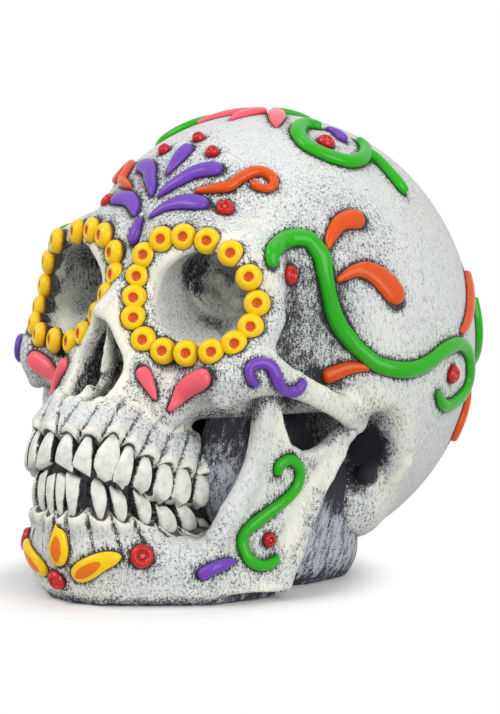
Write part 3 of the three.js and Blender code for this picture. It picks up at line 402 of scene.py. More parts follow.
# %% [markdown]
# ## The vault
# The brain case is two eggs: a large one, and a second that rises a little above it and fills out the
# crown. A block is cut away below, a wedge where the jaw will stand, and the temples are pressed in. Each
# line below is one lump of clay, and its last number is the softness of the join. The grid's steps from
# front to back are fine over the face and grow wider behind it.

# %% Vault
BAY_ROOF, WALL_RUN, WALL_DROP = 66.0, 14.0, 50.0
STEP_GROWTH = 1.04


def even_then_wide(start, fine, until, end, widest):
    """Ruler with even fine steps up to a point, then steps that grow up to the widest."""
    marks = list(np.arange(start, until, fine))
    step = fine
    while marks[-1] < end:
        step = min(widest, step * STEP_GROWTH)
        marks.append(marks[-1] + step)
    return np.array(marks)


def jaw_bay(points):
    """Wedge that the jaw stands in: below a roof, and in front of a wall that slopes back as it goes down."""
    up = points[..., 2] - BAY_ROOF
    wall = (WALL_DROP * points[..., 1] + WALL_RUN * up) / np.hypot(WALL_DROP, WALL_RUN)
    return -blend_low(-up, -wall, 6.0)


cranium = Clay([np.arange(0, 84, 1.15), even_then_wide(-120, 1.1, -42, 106, 2.1), np.arange(-4, 186, 1.2)])
cranium.add(egg((0, 11, 86), (76.5, 87, 84)))
cranium.add(egg((0, 12, 110), (66, 76, 64), turned("x", -12)), 6)
cranium.cut(block((0, 10, -30), (90, 130, 42), 4), 6)
cranium.cut((jaw_bay, (-90, -130, -20), (90, 30, BAY_ROOF)), 8)
cranium.cut(egg((82, -46, 84), (30, 34, 46), turned("z", -14)), 14)
print("vault, lowest distance", round(float(cranium.depth.min()), 1))

# %% [markdown]
# ## The face
# The face is built on the vault in the order in which a sculptor would lay clay on: the mass behind the
# eyes, then brow, cheekbones, arches, upper jaw and nose. The points come from the photograph, with the
# camera above. The rim that carries the beads is laid under the beads' own places, so these are listed
# here. A copy without the holes is kept, because the trim sits on that skin even where it bridges the edge
# of a socket.

# %% Face masses
EYE_BEADS = [(5.4, -69.6, 117), (8, -68.8, 125.3), (14.7, -67.8, 131.5), (23.1, -65.2, 132.7),
             (32.6, -63, 131.5), (43.2, -61.8, 127.2), (49.7, -60, 119.4), (53.2, -59.5, 110),
             (53, -62.8, 101.7), (50, -68.2, 95.8), (43.1, -73, 92.8), (33.2, -75.5, 91.8),
             (23.2, -77, 92), (14.4, -76.4, 95), (9.4, -76.4, 102.5), (7, -74.4, 109.8), (5.4, -69.6, 117)]
RIM_BEHIND, RIM_RADIUS = 5.0, 3.2


def bead_axes(points):
    """Directions in which beads look: ahead, turned out by 22 to 38 degrees, and 16 more beside the nose."""
    x, _, z = np.array(points).T
    side = np.radians(np.interp(x, [8, 50], [22, 38]) + 16 * np.exp(-((z - 105) / 8) ** 2) * (x < 20))
    return unit(np.stack([np.sin(side), -np.cos(side), np.full(len(side), 0.12)], 1))


FACE_TURN = turned("z", 10) @ turned("x", 17)
# Mass behind the eyes, then a block round each eye, then the middle of the upper jaw
cranium.add(egg((0, -38, 112), (44, 25, 28)), 12)
cranium.add(block((26, -49, 111), (25, 13, 23), 9, FACE_TURN), 7)
cranium.add(egg((0, -62, 84), (28, 19, 26), turned("x", 18)), 8)
# Brow ridge, then the outer frame of the eye down to the cheek
cranium.add(limb([(0, -58.5, 131), (11, -59, 134), (24, -56, 135), (37, -51, 131), (48, -47.5, 123)],
                 [5, 5, 5, 4.3, 3.5]), 7)
cranium.add(limb([(49.5, -48, 124), (52.5, -49.5, 114), (54, -52, 104), (51, -60, 92)],
                 [3.5, 3.8, 5, 7.5]), 6)
# Cheekbone with its lower tip, the root of the arch, and the arch back to the ear
cranium.add(egg((44, -65.5, 83), (14, 10, 10), turned("z", 14)), 7)
cranium.add(limb([(46, -67, 82), (46.2, -70.5, 75)], [5.5, 2.8]), 4)
cranium.add(limb([(50, -62, 86), (59, -57, 84)], [7, 5]), 5)
cranium.add(limb([(55, -59, 85), (62, -48, 80), (65, -36, 74), (64, -22, 68), (58, -8, 64)],
                 [5, 3.4, 3.0, 3.2, 5], (1, 1, 1.5)), 4)
# Ridge over the upper teeth, and the bone between it and the nose
gum, away, out, _ = arch_frame("upper", np.linspace(0, 62, 8))
cranium.add(limb(gum + away * 8.5 - out * 7.0, [6.5, 6.5, 6.5, 6.5, 7, 7.5, 8, 8]), 8)
cranium.add(egg((0, -77, 74), (22, 17, 14)), 8)
# Bridge of the nose, its flank, and the rim of its opening
cranium.add(limb([(0, -57, 127), (0, -70.5, 114), (0, -85, 105.5)], [5.5, 4, 2.8]), 5)
cranium.add(limb([(3, -58, 122), (2.4, -69, 111), (1.8, -81, 102.5)], [5, 4.2, 3.0]), 4)
cranium.add(limb([(3.4, -82.5, 101.5), (9, -82, 92.5), (11.2, -82, 84), (11, -83.5, 78), (7.4, -86, 74)],
                 [2.2, 2.3, 2.5, 2.6, 3]), 2.5)
# Bone of the cheek under its two petals
cranium.add(limb([(22.4, -78.2, 74.6), (19, -78.2, 79.8), (15.4, -79.2, 86.2)], [4.8, 4.8, 4.4]), 5)
cranium.add(limb([(25, -74.6, 70), (25.4, -71.8, 73.6), (27.6, -70, 76.8), (31.6, -69.8, 79.9)],
                 [5.8, 5.8, 5.8, 5.4]), 6)
# Lump behind the ear, the dip behind the eye's outer frame, and the rim under the beads
cranium.add(egg((44, 8, 28.5), (11, 13, 14)), 9)
cranium.cut(egg((59.5, -40, 100), (8, 7, 15)), 4)
cranium.add(limb(EYE_BEADS - bead_axes(EYE_BEADS) * RIM_BEHIND, np.full(len(EYE_BEADS), RIM_RADIUS)), 4)
skin = cranium.copy()
print("face masses, lowest distance", round(float(cranium.depth.min()), 1))

# %% [markdown]
# ## Gum
# The gum is a band round the arch. Its free edge curves up round the neck of every tooth and comes down in
# a peak between two, and its face swells over every root. Roots lean, so the grooves between them run up at
# a slant. All of that is one formula in a few measures at each point: how far past the free edge, how far
# outwards, how far past the last tooth, and how near to a gap.

# %% Gum
PEAK = 3.4


def gum_measures(row, points):
    """Height past the gum's edge, distance outwards, overrun past the end, and nearness to a gap (0 to 1)."""
    run = np.linspace(0, ROWS[row]["end"], 140)
    gum, away, out, along = arch_frame(row, run)
    places, _, _, _, necks = zip(*TEETH[row])
    gaps = (np.array(places[1:]) + np.array(places[:-1])) / 2
    marks = np.sort(np.concatenate([[0.0], places, gaps, [ROWS[row]["end"]]]))
    is_gap = np.ones(len(marks))
    is_gap[np.searchsorted(marks, places)] = 0.0
    low = np.interp(run, places, necks) - PEAK * np.interp(run, marks, is_gap) ** 2
    nearest, index = np.full(points.shape[:-1], np.inf), np.zeros(points.shape[:-1], int)
    for i in range(len(run)):
        offset = points - gum[i]
        squared = (offset ** 2).sum(-1) - (offset @ away[i]) ** 2
        closer = squared < nearest
        nearest[closer], index[closer] = squared[closer], i
    offset = points - gum[index]
    over = np.where(index == len(run) - 1, np.maximum((offset * along[index]).sum(-1), 0), 0)
    height = (offset * away[index]).sum(-1) - low[index]
    gap = np.interp(np.abs(run[index] - ROWS[row]["slant"] * np.clip(height, 0, 20)), marks, is_gap)
    return height, (offset * out[index]).sum(-1), over, gap


def gum_band(row, lip, swell, tall, deep, corner):
    """Rounded box across the arch: from the free edge up to tall, from deep inside out to lip and a swell."""
    _, gum = tooth_places(row, np.linspace(0, ROWS[row]["end"], 20))

    def distance(points):
        height, outwards, over, gap = gum_measures(row, points)
        share = height / tall
        root = swell * (1 - 1.7 * gap ** 3) * np.clip(1.1 - share, 0, 1)
        face = lip + root - 3.5 * np.clip(share - 0.5, 0, 1)
        rim = np.maximum(-height, height - tall) + corner
        wall = np.maximum(outwards - face, -deep - outwards) + corner
        outside = np.sqrt(np.maximum(rim, 0) ** 2 + np.maximum(wall, 0) ** 2 + over ** 2)
        return np.minimum(np.maximum(rim, wall), 0) + outside - corner

    return distance, gum.min(0) - (0, 6, tall), gum.max(0) + (6, 6, tall)


cranium.add(gum_band("upper", lip=0.5, swell=2.5, tall=16.0, deep=8.0, corner=0.9), 2.0)
print("upper gum laid on")

# %% [markdown]
# ## Sockets, nose and ears
# Now the hollows are pressed in. An eye socket is two eggs with a deeper hole towards the nose, in which
# thin ridges make the swirl that the photograph shows. The nose is an egg and a slit on each side of the
# middle, parted by a thin wall that ends in a spine below. The ear is a hole with a lump in it and a fold
# behind.

# %% Hollows
cranium.cut(egg((30, -56, 112), (20, 28, 16.5), FACE_TURN), 4)
cranium.cut(egg((29, -46, 113), (16, 26, 13), FACE_TURN), 5)
cranium.cut(limb([(26, -50.5, 112), (20, -44, 111)], [12.5, 11]), 1.2)
cranium.add(limb([(9, -43.5, 112), (13, -38.5, 105.5), (20, -35.5, 103), (27, -37.5, 108), (25, -34, 115)],
                 [3, 3.4, 3.4, 3.2, 3]), 2)
cranium.add(limb([(15, -36.5, 115), (19, -34, 110.5), (23, -34.5, 108.5)], [2.6, 3, 2.6]), 2)
cranium.cut(limb([(17, -44, 99.5), (24, -44, 98), (34, -52, 95.5)], [1.8, 2.4, 1.6]), 1.5)
# Nose on each side of the middle, then the ear with its lump and fold, then the nerve hole under the eye
cranium.cut(egg((5.2, -84, 82.6), (5.7, 24, 10.8)), 1.2)
cranium.cut(limb([(1.0, -84, 100.5), (4.2, -84, 90)], [1.9, 4.4], (1, 4, 1)), 1.2)
cranium.cut(egg((60, -2, 46.5), (16, 8, 13.5)), 1.2)
cranium.add(egg((54, 4, 40), (5, 3.5, 4.5)), 1.5)
cranium.add(limb([(68, 9, 60), (68.5, 12, 53), (66, 13, 45), (61, 12, 37)], [1.4, 2, 2, 1.4]), 1.2)
cranium.cut(egg((29, -78, 88), (3.2, 8, 2.4)), 2)
# Wall that parts the nose, and the spine below it
cranium.add(limb([(0, -78, 103), (0.2, -80, 92), (0.4, -81, 84), (0.6, -82, 79)],
                 [0.9, 0.9, 1.0, 1.0], (1, 3, 1)), 1)
cranium.add(limb([(0.6, -81, 80), (0.2, -89, 75), (0, -94, 70)], [1.1, 1.3, 2]), 1.5)
print("holes pressed into the cranium")

# %% [markdown]
# ## The lower jaw
# The body of the jaw is a horseshoe whose belly stands out further than its gum, so it is three limbs, one
# above another: the lower border, the belly and the gum. At each end an upright plate carries the hinge
# knob. Its front and rear edges are thick and rounded, and the face between them is a little hollow.

# %% Lower jaw
BELLY = [(0, -107.5), (14, -104), (22, -98.5), (31, -91), (41, -82), (47, -75), (50.5, -66), (53, -57),
         (54.5, -49)]
PLATE_OUTLINE = [(-51, 1), (-45, 8), (-38.5, 17), (-33, 27), (-27, 37), (-21, 44), (-15, 51.5), (-11.5, 59),
                 (-14, 61.5), (-17, 59.5), (-23.5, 55.5), (-30, 53.8), (-36.3, 53.7), (-44, 57.5),
                 (-47.3, 64.5), (-49.3, 72), (-54, 79), (-58, 68), (-59, 52), (-63, 41), (-67, 29), (-66, 6),
                 (-54, 1)]


def plate_middle(y, z):
    """Mid-plane of the upright plate: nearly upright, and bent in towards the body in front."""
    return 54.5 - 0.012 * np.maximum(0, -38 - y) ** 2 + 0.05 * (z - 40)


def inside_line(line, inset, height):
    """A line in plan moved sideways to its left by inset, at one height."""
    line = np.array(line, float)
    way = np.gradient(line, axis=0)
    left = np.stack([-way[:, 1], way[:, 0]], 1) / np.linalg.norm(way, axis=1, keepdims=True)
    return np.concatenate([line + left * inset, np.full((len(line), 1), height)], 1)


def on_plate(points):
    """Points of the plate's mid-plane from their Y and Z."""
    points = np.array(points, float)
    return np.column_stack([plate_middle(points[:, 0], points[:, 1]), points])


jaw = Clay([np.arange(0, 66, 1.05), np.arange(-114, 6, 1.05), np.arange(-4, 82, 1.05)])
# Lower border, belly and gum ridge, the inner root of the plate, and what joins gum and belly
jaw.add(limb(inside_line(BELLY, 9, 8), np.full(9, 6.0), (1, 1, 1.3)))
jaw.add(limb(inside_line(BELLY, 7, 14), np.full(9, 6.6), (1, 1, 1.3)), 6)
gum, away, out, _ = arch_frame("lower", np.linspace(0, 60, 9))
jaw.add(limb(gum + away * 8 - out * 5.5, np.full(9, 5.6), (1, 1, 1.2)), 8)
jaw.add(limb([(30, -62, 20), (36, -54, 20), (46, -45, 20)], [6, 6, 5]), 6)
jaw.add(limb(0.5 * (gum + away * 9 - out * 5) + 0.5 * inside_line(BELLY, 7, 14), np.full(9, 6.0)), 8)
# Plate with a hollow face and a groove along its rear edge
jaw.add(plate(PLATE_OUTLINE, plate_middle, 2.8, 2.0), 3)
jaw.cut(egg((64.4, -42, 36), (8, 10, 20), turned("x", -28)), 3)
jaw.cut(limb(on_plate([(-25, 48), (-31, 42), (-36, 36), (-41.5, 27), (-48, 17)]) + (6.6, 0, 0),
             [4.4, 5.4, 5.8, 5.8, 5]), 1.5)
# Thick front edge, rear edge and lower corner of the plate, then its hinge knob
front_edge = [(-54, 77), (-56, 66), (-57.5, 54), (-60.5, 43.5), (-65, 33.5), (-69, 24), (-73, 15)]
rear_edge = [(-14, 58), (-17, 50.5), (-22.7, 43.3), (-28.3, 37), (-34, 26.8), (-39.6, 16.8), (-46, 7)]
jaw.add(limb(on_plate(front_edge) + (1, 0, 0), [2.6, 3.0, 3.4, 4, 4.8, 5, 4]), 2.5)
jaw.add(limb(on_plate(rear_edge) + (2.2, 0, 0), [3.2, 2.6, 2.4, 2.4, 2.6, 2.9, 3.6]), 1.0)
jaw.add(limb(on_plate([(-47, 6), (-54, 5), (-62, 8)]), [4.4, 4.8, 5]), 4)
jaw.add(egg((58.5, -14, 59), (4.6, 3.6, 3.6)), 2)
# Rise of the chin under its top petal
jaw.add(limb([(0.5, -103.4, 34), (0.8, -104.2, 26)], [4.8, 4.8]), 4)
jaw_skin = jaw.copy()
# Gum, the raised part of the underside, and the flat that it stands on
jaw.add(gum_band("lower", lip=0.4, swell=2.5, tall=15.0, deep=7.0, corner=0.9), 2.0)
jaw.cut(egg((52, -62, -2), (13, 24, 6)), 1.5)
jaw.cut(block((0, 0, -20), (200, 200, 20), 0.5), 0.6)
print("jaw, lowest distance", round(float(jaw.depth.min()), 1))

# %% [markdown]
# ## The filling
# Behind the teeth and under the cranium the casting is filled with a plain grey block, so that the skull
# stands and the jaw cannot move. Its rear corners are well rounded, and it runs forward inside the jaw as a
# low plinth.

# %% Filling
filling = Clay([np.arange(0, 66, 1.5), np.arange(-114, 30, 1.5), np.arange(-4, 76, 1.5)])
filling.add(block((0, -25, 30), (38, 24, 38), 12))
filling.add(block((0, -50, 24), (17, 36, 28), 10), 6)
filling.add(block((0, -8, 22), (49, 25, 28), 18), 4)
filling.add(limb(inside_line(BELLY, 13, 3), np.full(9, 8.0), (1, 1, 0.8)), 6)
filling.add(egg((37, -50, 48), (15, 9, 30), turned("z", 35)), 6)
filling.cut(block((0, 0, -20), (200, 200, 20), 0.5), 0.6)
print("filling, lowest distance", round(float(filling.depth.min()), 1))

# %% [markdown]
# ## Moulds
# A finished piece needs points, faces and a few marks at each point that its paint can read. A mould
# collects them, can add its own mirror image, and at last becomes a mesh. Most trim is a stack of rings
# closed by a point at each end, so one function joins rings with faces that look outwards.

# %% Moulds


class Mould:
    """Points, faces and marks of one piece, in the maker's millimetres."""

    def __init__(self):
        self.points, self.faces, self.marks, self.size = [], [], {}, 0

    def add(self, points, faces, **marks):
        self.points.append(np.asarray(points, float))
        self.faces.extend(face + self.size for face in faces)
        for name, values in marks.items():
            self.marks.setdefault(name, []).append(np.broadcast_to(values, len(points)))
        self.size += len(points)
        return self

    def mirrored(self):
        """The same on the right side: X changes sign, and every face turns round to look outwards again."""
        twin = Mould()
        twin.points = [points * (-1, 1, 1) for points in self.points]
        twin.faces = [face[:, ::-1] for face in self.faces]
        twin.marks, twin.size = self.marks, self.size
        return twin

    def joined(self, other):
        """This mould and another as one."""
        whole = Mould()
        for part in (self, other):
            whole.faces.extend(face + whole.size for face in part.faces)
            whole.points.extend(part.points)
            whole.size += part.size
            for name, values in part.marks.items():
                whole.marks.setdefault(name, []).extend(values)
        return whole


def rings_to_faces(count, around):
    """Faces of a stack of rings with two poles: quads between rings, triangles to the last two points."""
    i, j = np.meshgrid(np.arange(count - 1) * around, np.arange(around), indexing="ij")
    k = (j + 1) % around
    quads = np.stack([i + j, i + around + j, i + around + k, i + k], -1).reshape(-1, 4)
    edge = np.arange(around)
    after, last, poles = (edge + 1) % around, (count - 1) * around, count * around
    start = np.stack([np.full(around, poles), edge, after], 1)
    end = np.stack([last + edge, np.full(around, poles + 1), last + after], 1)
    return [quads, start, end]


def add_rings(mould, rings, first, second, **marks):
    """Adds rings (count, around, 3) closed by two poles; a mark is an array (count, around) and a pair."""
    count, around = rings.shape[:2]
    points = np.concatenate([rings.reshape(-1, 3), [first, second]])
    flat = {}
    for name, (values, ends) in marks.items():
        flat[name] = np.concatenate([np.broadcast_to(values, (count, around)).ravel(), ends])
    mould.add(points, rings_to_faces(count, around), **flat)


print("moulds are ready")

# %% [markdown]
# ## Pieces
# A mould becomes a mesh in one place, so that every piece is treated alike. Its marks become attributes, it
# is shaded smooth, and it rides on the root of the model in place of the solids that it stands for.

# %% Pieces
pieces = []


def make_piece(name, mould, paint, nodes):
    """Turns a mould into a smooth mesh object on the root for its nodes; paint is a finish and a slot name,
    which is not used.
    """
    finish, slot = paint
    mesh = bpy.data.meshes.new(name)
    faces = [row for face in mould.faces for row in face.tolist()]
    mesh.from_pydata(in_frame(np.concatenate(mould.points)).tolist(), [], faces)
    mesh.shade_smooth()
    for mark, values in mould.marks.items():
        layer = mesh.attributes.new(mark, "FLOAT", "POINT")
        layer.data.foreach_set("value", np.concatenate(values).astype(np.float32))
    mesh.materials.append(finish)
    piece = bpy.data.objects.new(name, mesh)
    bpy.context.scene.collection.objects.link(piece)
    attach(piece, "root")
    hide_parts(*nodes)
    pieces.append(piece)
    return piece


print("pieces go into", bpy.context.scene.collection.name)

# %% [markdown]
# ## Paint as sums
# A finish is a network of nodes, and most of it is arithmetic on values between 0 and 1. A small class
# wraps a socket so that such sums read as Python, also with a plain number in front, as in 1 - mask.

# %% Sums


class Wire:
    """An output of a node that can stand in a sum; every operator adds a Math node."""

    def __init__(self, finish, socket):
        self.finish, self.socket = finish, socket

    def math(self, operation, first, second):
        return self.finish.node("ShaderNodeMath", {"operation": operation}, {0: first, 1: second})

    def __add__(self, other):
        return self.math("ADD", self, other)

    def __radd__(self, other):
        return self.math("ADD", other, self)

    def __sub__(self, other):
        return self.math("SUBTRACT", self, other)

    def __rsub__(self, other):
        return self.math("SUBTRACT", other, self)

    def __mul__(self, other):
        return self.math("MULTIPLY", self, other)

    def __rmul__(self, other):
        return self.math("MULTIPLY", other, self)

    def higher(self, other):
        return self.math("MAXIMUM", self, other)

    def step(self, low, high):
        """0 below low, 1 above high, a smooth rise between; a low above high turns it round."""
        sockets = {"Value": self, "From Min": low, "From Max": high}
        return self.finish.node("ShaderNodeMapRange", {"interpolation_type": "SMOOTHSTEP"}, sockets)


print("sums are ready")

# %% [markdown]
# ## Finishes
# A finish holds one shader and the nodes that feed it. One method adds any node: its settings first, then
# the value or the link of each socket. Grain is noise measured in millimetres, a mark is a value that the
# mould left at each point, and lumps tilt the light as if the surface were uneven.

# %% Finishes


class Finish:
    """A material with one Principled shader, and the nodes that feed it."""

    def __init__(self, name, **constants):
        self.material = bpy.data.materials.new(name)
        self.material.use_nodes = True
        self.tree = self.material.node_tree
        self.shader = self.tree.nodes["Principled BSDF"]
        for socket, value in constants.items():
            self.shader.inputs[socket.replace("_", " ")].default_value = value
        self.place = self.node("ShaderNodeTexCoord", out="Object")

    def feed(self, socket, value):
        if isinstance(value, Wire):
            self.tree.links.new(value.socket, socket)
        elif value is not None:
            socket.default_value = value

    def node(self, kind, settings=None, sockets=None, out=0):
        made = self.tree.nodes.new(kind)
        for name, value in (settings or {}).items():
            setattr(made, name, value)
        for name, value in (sockets or {}).items():
            self.feed(made.inputs[name], value)
        return Wire(self, made.outputs[out])

    def mark(self, name):
        """A value that the mould left at each point."""
        return self.node("ShaderNodeAttribute", {"attribute_name": name}, out="Fac")

    def grain(self, size, detail=2.0, stretch=(1, 1, 1), lean=0.0):
        """Noise about 0.5 in blotches of about size millimetres, longer along a stretched, leaning axis."""
        scale = tuple(size * MM * part for part in stretch)
        sockets = {"Vector": self.place, "Rotation": (lean, 0.0, 0.0), "Scale": scale}
        spot = self.node("ShaderNodeMapping", {"vector_type": "TEXTURE"}, sockets)
        return self.node("ShaderNodeTexNoise", {}, {"Vector": spot, "Scale": 1.0, "Detail": detail})

    def mix(self, first, second, share):
        """Colour between two colours."""
        first, second = [c if isinstance(c, Wire) else (*c, 1.0) for c in (first, second)]
        return self.node("ShaderNodeMix", {"data_type": "RGBA"}, {0: share, 6: first, 7: second}, out=2)

    def lumps(self, height, deep):
        """Bump from a height between 0 and 1, deep millimetres tall."""
        return self.node("ShaderNodeBump", {}, {"Height": height, "Distance": deep * MM, "Strength": 1.0})

    def paint(self, **sockets):
        for name, value in sockets.items():
            self.feed(self.shader.inputs[name.replace("_", " ")], value)
        return self.material


print("finishes are ready")

# %% [markdown]
# ## Dry-brushed bone
# The casting is black under a coat of white that was dragged over it with a nearly dry brush, so the white
# catches on what stands out and the black stays in pits, hollows and round the foot of each ornament, where
# it is deepened with painted shade. In the shader a fine grain is compared with a level, and the marks for
# hollows and ornament feet raise the level, so more of the grain stays black. The white itself is cream on
# the ridges as a painted highlight, and a cool grey in the flats that turns greyer in hollows as painted
# shade. A thin black line runs round the trim, at the necks and in the grooves between roots, partly painted
# shade, and small black flecks lie on top, most of them in hollows and near the trim.

# %% Bone finish


def bone_finish(name, cream, grey, thin, black, dirt, streak, blotch, lean):
    """White paint where grain is above a level, which washes with painted shade, trim, roots, dirt and
    blotches raise.
    """
    bone = Finish(name, Specular_IOR_Level=0.25)
    wash_and_shade, foot, edge = bone.mark("wash_and_shade"), bone.mark("foot"), bone.mark("edge")
    height, gap = bone.mark("gum"), bone.mark("gap")
    fine, coarse, slow = bone.grain(0.42, 2.0), bone.grain(5.0, 3.0), bone.grain(24.0, 2.0)
    drag = bone.grain(0.8, 2.0, (1.0, 1.0, streak), lean)
    stroke = bone.grain(2.2, 3.0, (1.0, 1.0, 0.6 * streak), lean)
    # Darker round the foot of the trim: black left by the brush, and painted shade
    black_and_shade_round_trim = foot.step(5.0, 0.0) * 0.28 + foot.step(1.9, 0.2) * 0.46
    roots = gap.step(0.66, 1.0) * height.step(19.0, 8.0) * height.step(-1.0, 0.5)
    neck = height.step(0.35, 0.0) * height.step(-3.0, -1.0)
    # How much black shows: the brush's black, with painted shade in hollows, round the trim, in root grooves,
    # under the jaw and on the filling
    black_and_shade = wash_and_shade + black_and_shade_round_trim + roots * 0.8 + dirt + (stroke - 0.5) * blotch
    black_and_shade = black_and_shade + (coarse - 0.5) * (0.45 + wash_and_shade) + (slow - 0.5) * 0.3 - edge.step(0.24, 0.50) * 0.4
    speck = fine * 0.6 + drag * 0.4
    level = 0.364 + 0.23 * black_and_shade
    coat = speck.step(level - 0.11, level + 0.12)
    # Cream where the bone stands out is a painted highlight, grey where it is darkened is painted shade, and
    # slow grain varies both at random
    painted_light_and_tone = bone.mix(grey, cream, (edge * 1.5 + (slow - 0.35) * 0.8 - wash_and_shade * 0.8).step(0.0, 0.7))
    painted_light_and_tone = bone.mix(painted_light_and_tone, thin, (coarse * 0.5 + drag * 0.5).step(0.55, 0.25) * 0.25)
    under = bone.mix(thin, black, black_and_shade.step(-0.25, 0.5))
    colour = bone.mix(under, painted_light_and_tone, coat)
    # A black line at the foot of the trim, at the necks and in the root grooves, partly painted shade
    line = (foot.step(0.6, 0.1) * 0.8).higher(neck * 0.9).higher(roots * gap.step(0.9, 1.0) * 0.6)
    colour = bone.mix(colour, black, line * (fine + 0.45).step(0.6, 0.85))
    dirty = wash_and_shade + black_and_shade_round_trim * 0.5 - edge * 0.5 + (slow - 0.5) * 0.3
    fleck = bone.grain(1.0, 1.0).step(0.60, 0.68) * dirty.step(-0.06, 0.14)
    colour = bone.mix(colour, black, fleck * 0.7)
    bump = bone.lumps(coat * 0.4 + drag * 0.3 + coarse * 0.6, 0.35)
    return bone.paint(Base_Color=colour, Roughness=0.60 + 0.2 * fine, Normal=bump)


# A paint is a finish and a slot name, which is not used
# The cream is a painted highlight on ridges and the grey the white of the flats; thin grey and black lie
# under the coat
bone_paint = (bone_finish("dry_brushed_bone", (0.88, 0.87, 0.77), (0.73, 0.755, 0.745), (0.24, 0.255, 0.27),
                          (0.022, 0.024, 0.030), dirt=0.0, streak=3.0, blotch=0.5, lean=0.0), "bone")
core_paint = (bone_finish("grey_brushed_filling", (0.60, 0.62, 0.66), (0.48, 0.50, 0.55), (0.17, 0.18, 0.21),
                          (0.030, 0.032, 0.040), dirt=0.30, streak=7.0, blotch=2.6, lean=-0.4), "core")
print("bone finishes made")

# %% [markdown]
# ## Ornament paint
# The trim is satin paint in one strong colour that is a little uneven, as hand painting is, with slow patches
# of tone and faint brush marks in the gloss. It is lighter on top and darker towards the foot as painted
# light and shade, with a black line along the foot as painted shade. Beads, chin petals and gems have a heart
# in a second
# colour: orange in yellow, brighter on the petals than in the beads, and a clear pink stone in red, whose
# groove is darkened as painted shade.

# %% Ornament finishes


def trim_finish(name, bright, deep, heart=None, gloss=0.38, groove=0.0):
    """Lit colour on top and deep at the foot, as painted light and shade, and deep in patches; a heart where
    its mark is under 1, in a groove.
    """
    trim = Finish(name, Coat_Weight=gloss, Coat_Roughness=0.12, Specular_IOR_Level=0.12)
    rise = trim.mark("rise")
    patch, fine = trim.grain(5.0, 2.0), trim.grain(0.9, 2.0)
    # Darker towards the foot of the trim is painted shade; the patches and fine grain are tone that differs
    # at random
    painted_light_and_tone = rise.step(0.50, 0.0) * 0.8 + (patch - 0.5) * 0.7 + (fine - 0.5) * 0.3
    colour = trim.mix(bright, deep, painted_light_and_tone.step(0.05, 1.0))
    if heart:
        ring = trim.mark("heart") + (fine - 0.5) * 0.25
        # The groove round the gem's stone is darkened as painted shade
        colour = trim.mix(colour, deep, ring.step(1.7, 1.3) * groove)
        colour = trim.mix(heart, colour, ring.step(0.9, 1.08))
    # A black line along the very foot is painted shade where the trim meets the bone
    colour = trim.mix(colour, (0.02, 0.018, 0.018), (rise + (fine - 0.5) * 0.12).step(0.13, 0.02) * 0.85)
    bump = trim.lumps(fine * 0.5 + patch * 0.7, 0.35)
    return trim.paint(Base_Color=colour, Roughness=0.24 + 0.2 * patch, Normal=bump)


# Each trim paint has a lit colour for the top and a shaded colour for the foot and for random patches
YELLOW_LIT, YELLOW_SHADED = (0.97, 0.63, 0.001), (0.78, 0.36, 0.001)
yellow = (trim_finish("yellow_beads", YELLOW_LIT, YELLOW_SHADED, (0.66, 0.085, 0.003)), "yellow_paint")
two_tone = (trim_finish("yellow_petals", YELLOW_LIT, YELLOW_SHADED, (0.84, 0.18, 0.003)), "yellow_paint")
orange = (trim_finish("orange_trim", (0.72, 0.082, 0.001), (0.44, 0.034, 0.001)), "orange_paint")
purple = (trim_finish("purple_trim", (0.160, 0.052, 0.45), (0.060, 0.015, 0.21)), "purple_paint")
green = (trim_finish("green_trim", (0.018, 0.41, 0.003), (0.005, 0.17, 0.002)), "green_paint")
pink = (trim_finish("pink_trim", (0.95, 0.125, 0.17), (0.68, 0.055, 0.085)), "pink_paint")
red = (trim_finish("red_gem", (0.56, 0.003, 0.007), (0.12, 0.002, 0.003), (0.72, 0.075, 0.085),
                   gloss=0.55, groove=0.9), "red_gem")
print("seven trim finishes made")

# %% [markdown]
# ## Strips on the bone
# Petals, leaves and scrolls were rolled from a soft mass and pressed on: a domed section carried along a
# path. The path's points come from the photograph, and every point of the section is seated on the clay
# before it is lifted by the dome, so a strip follows the bone under it in all directions.

# %% Strips
HEART_WIDE, HEART_MIDDLE, HEART_LONG = 0.52, 0.62, 0.27
SLOPE_REACH = 2.5
# Lines and half widths of the trim, for the clay that it stands on
footprints = {skin: [], jaw_skin: []}


def seat(points, clay, rounds=8):
    """Slides points along the outward slope by their distance, over and over, until they lie on the clay."""
    points = np.array(points, float)
    for _ in range(rounds):
        points = points - clay.outward(points) * clay.at(points)[..., None]
    return points


def smooth_line(rows, step):
    """Catmull-Rom curve through rows of a point and its half width, sampled at even steps of its length."""
    rows = np.asarray(rows, float)
    padded = np.vstack([2 * rows[0] - rows[1], rows, 2 * rows[-1] - rows[-2]])
    spot = np.linspace(0, len(rows) - 1, 24 * len(rows))
    i = np.minimum(spot.astype(int), len(rows) - 2)
    f = (spot - i)[:, None]
    a, b, c, d = (padded[i + k] for k in range(4))
    line = 0.5 * (2 * b + (c - a) * f + (2 * a - 5 * b + 4 * c - d) * f ** 2
                  + (3 * b - a - 3 * c + d) * f ** 3)
    run = np.concatenate([[0], np.cumsum(np.linalg.norm(np.diff(line[:, :3], axis=0), axis=1))])
    even = np.linspace(0, run[-1], max(8, int(run[-1] / step)))
    line = np.stack([np.interp(even, run, line[:, k]) for k in range(4)], 1)
    return line[:, :3], np.maximum(line[:, 3], 0.2), even


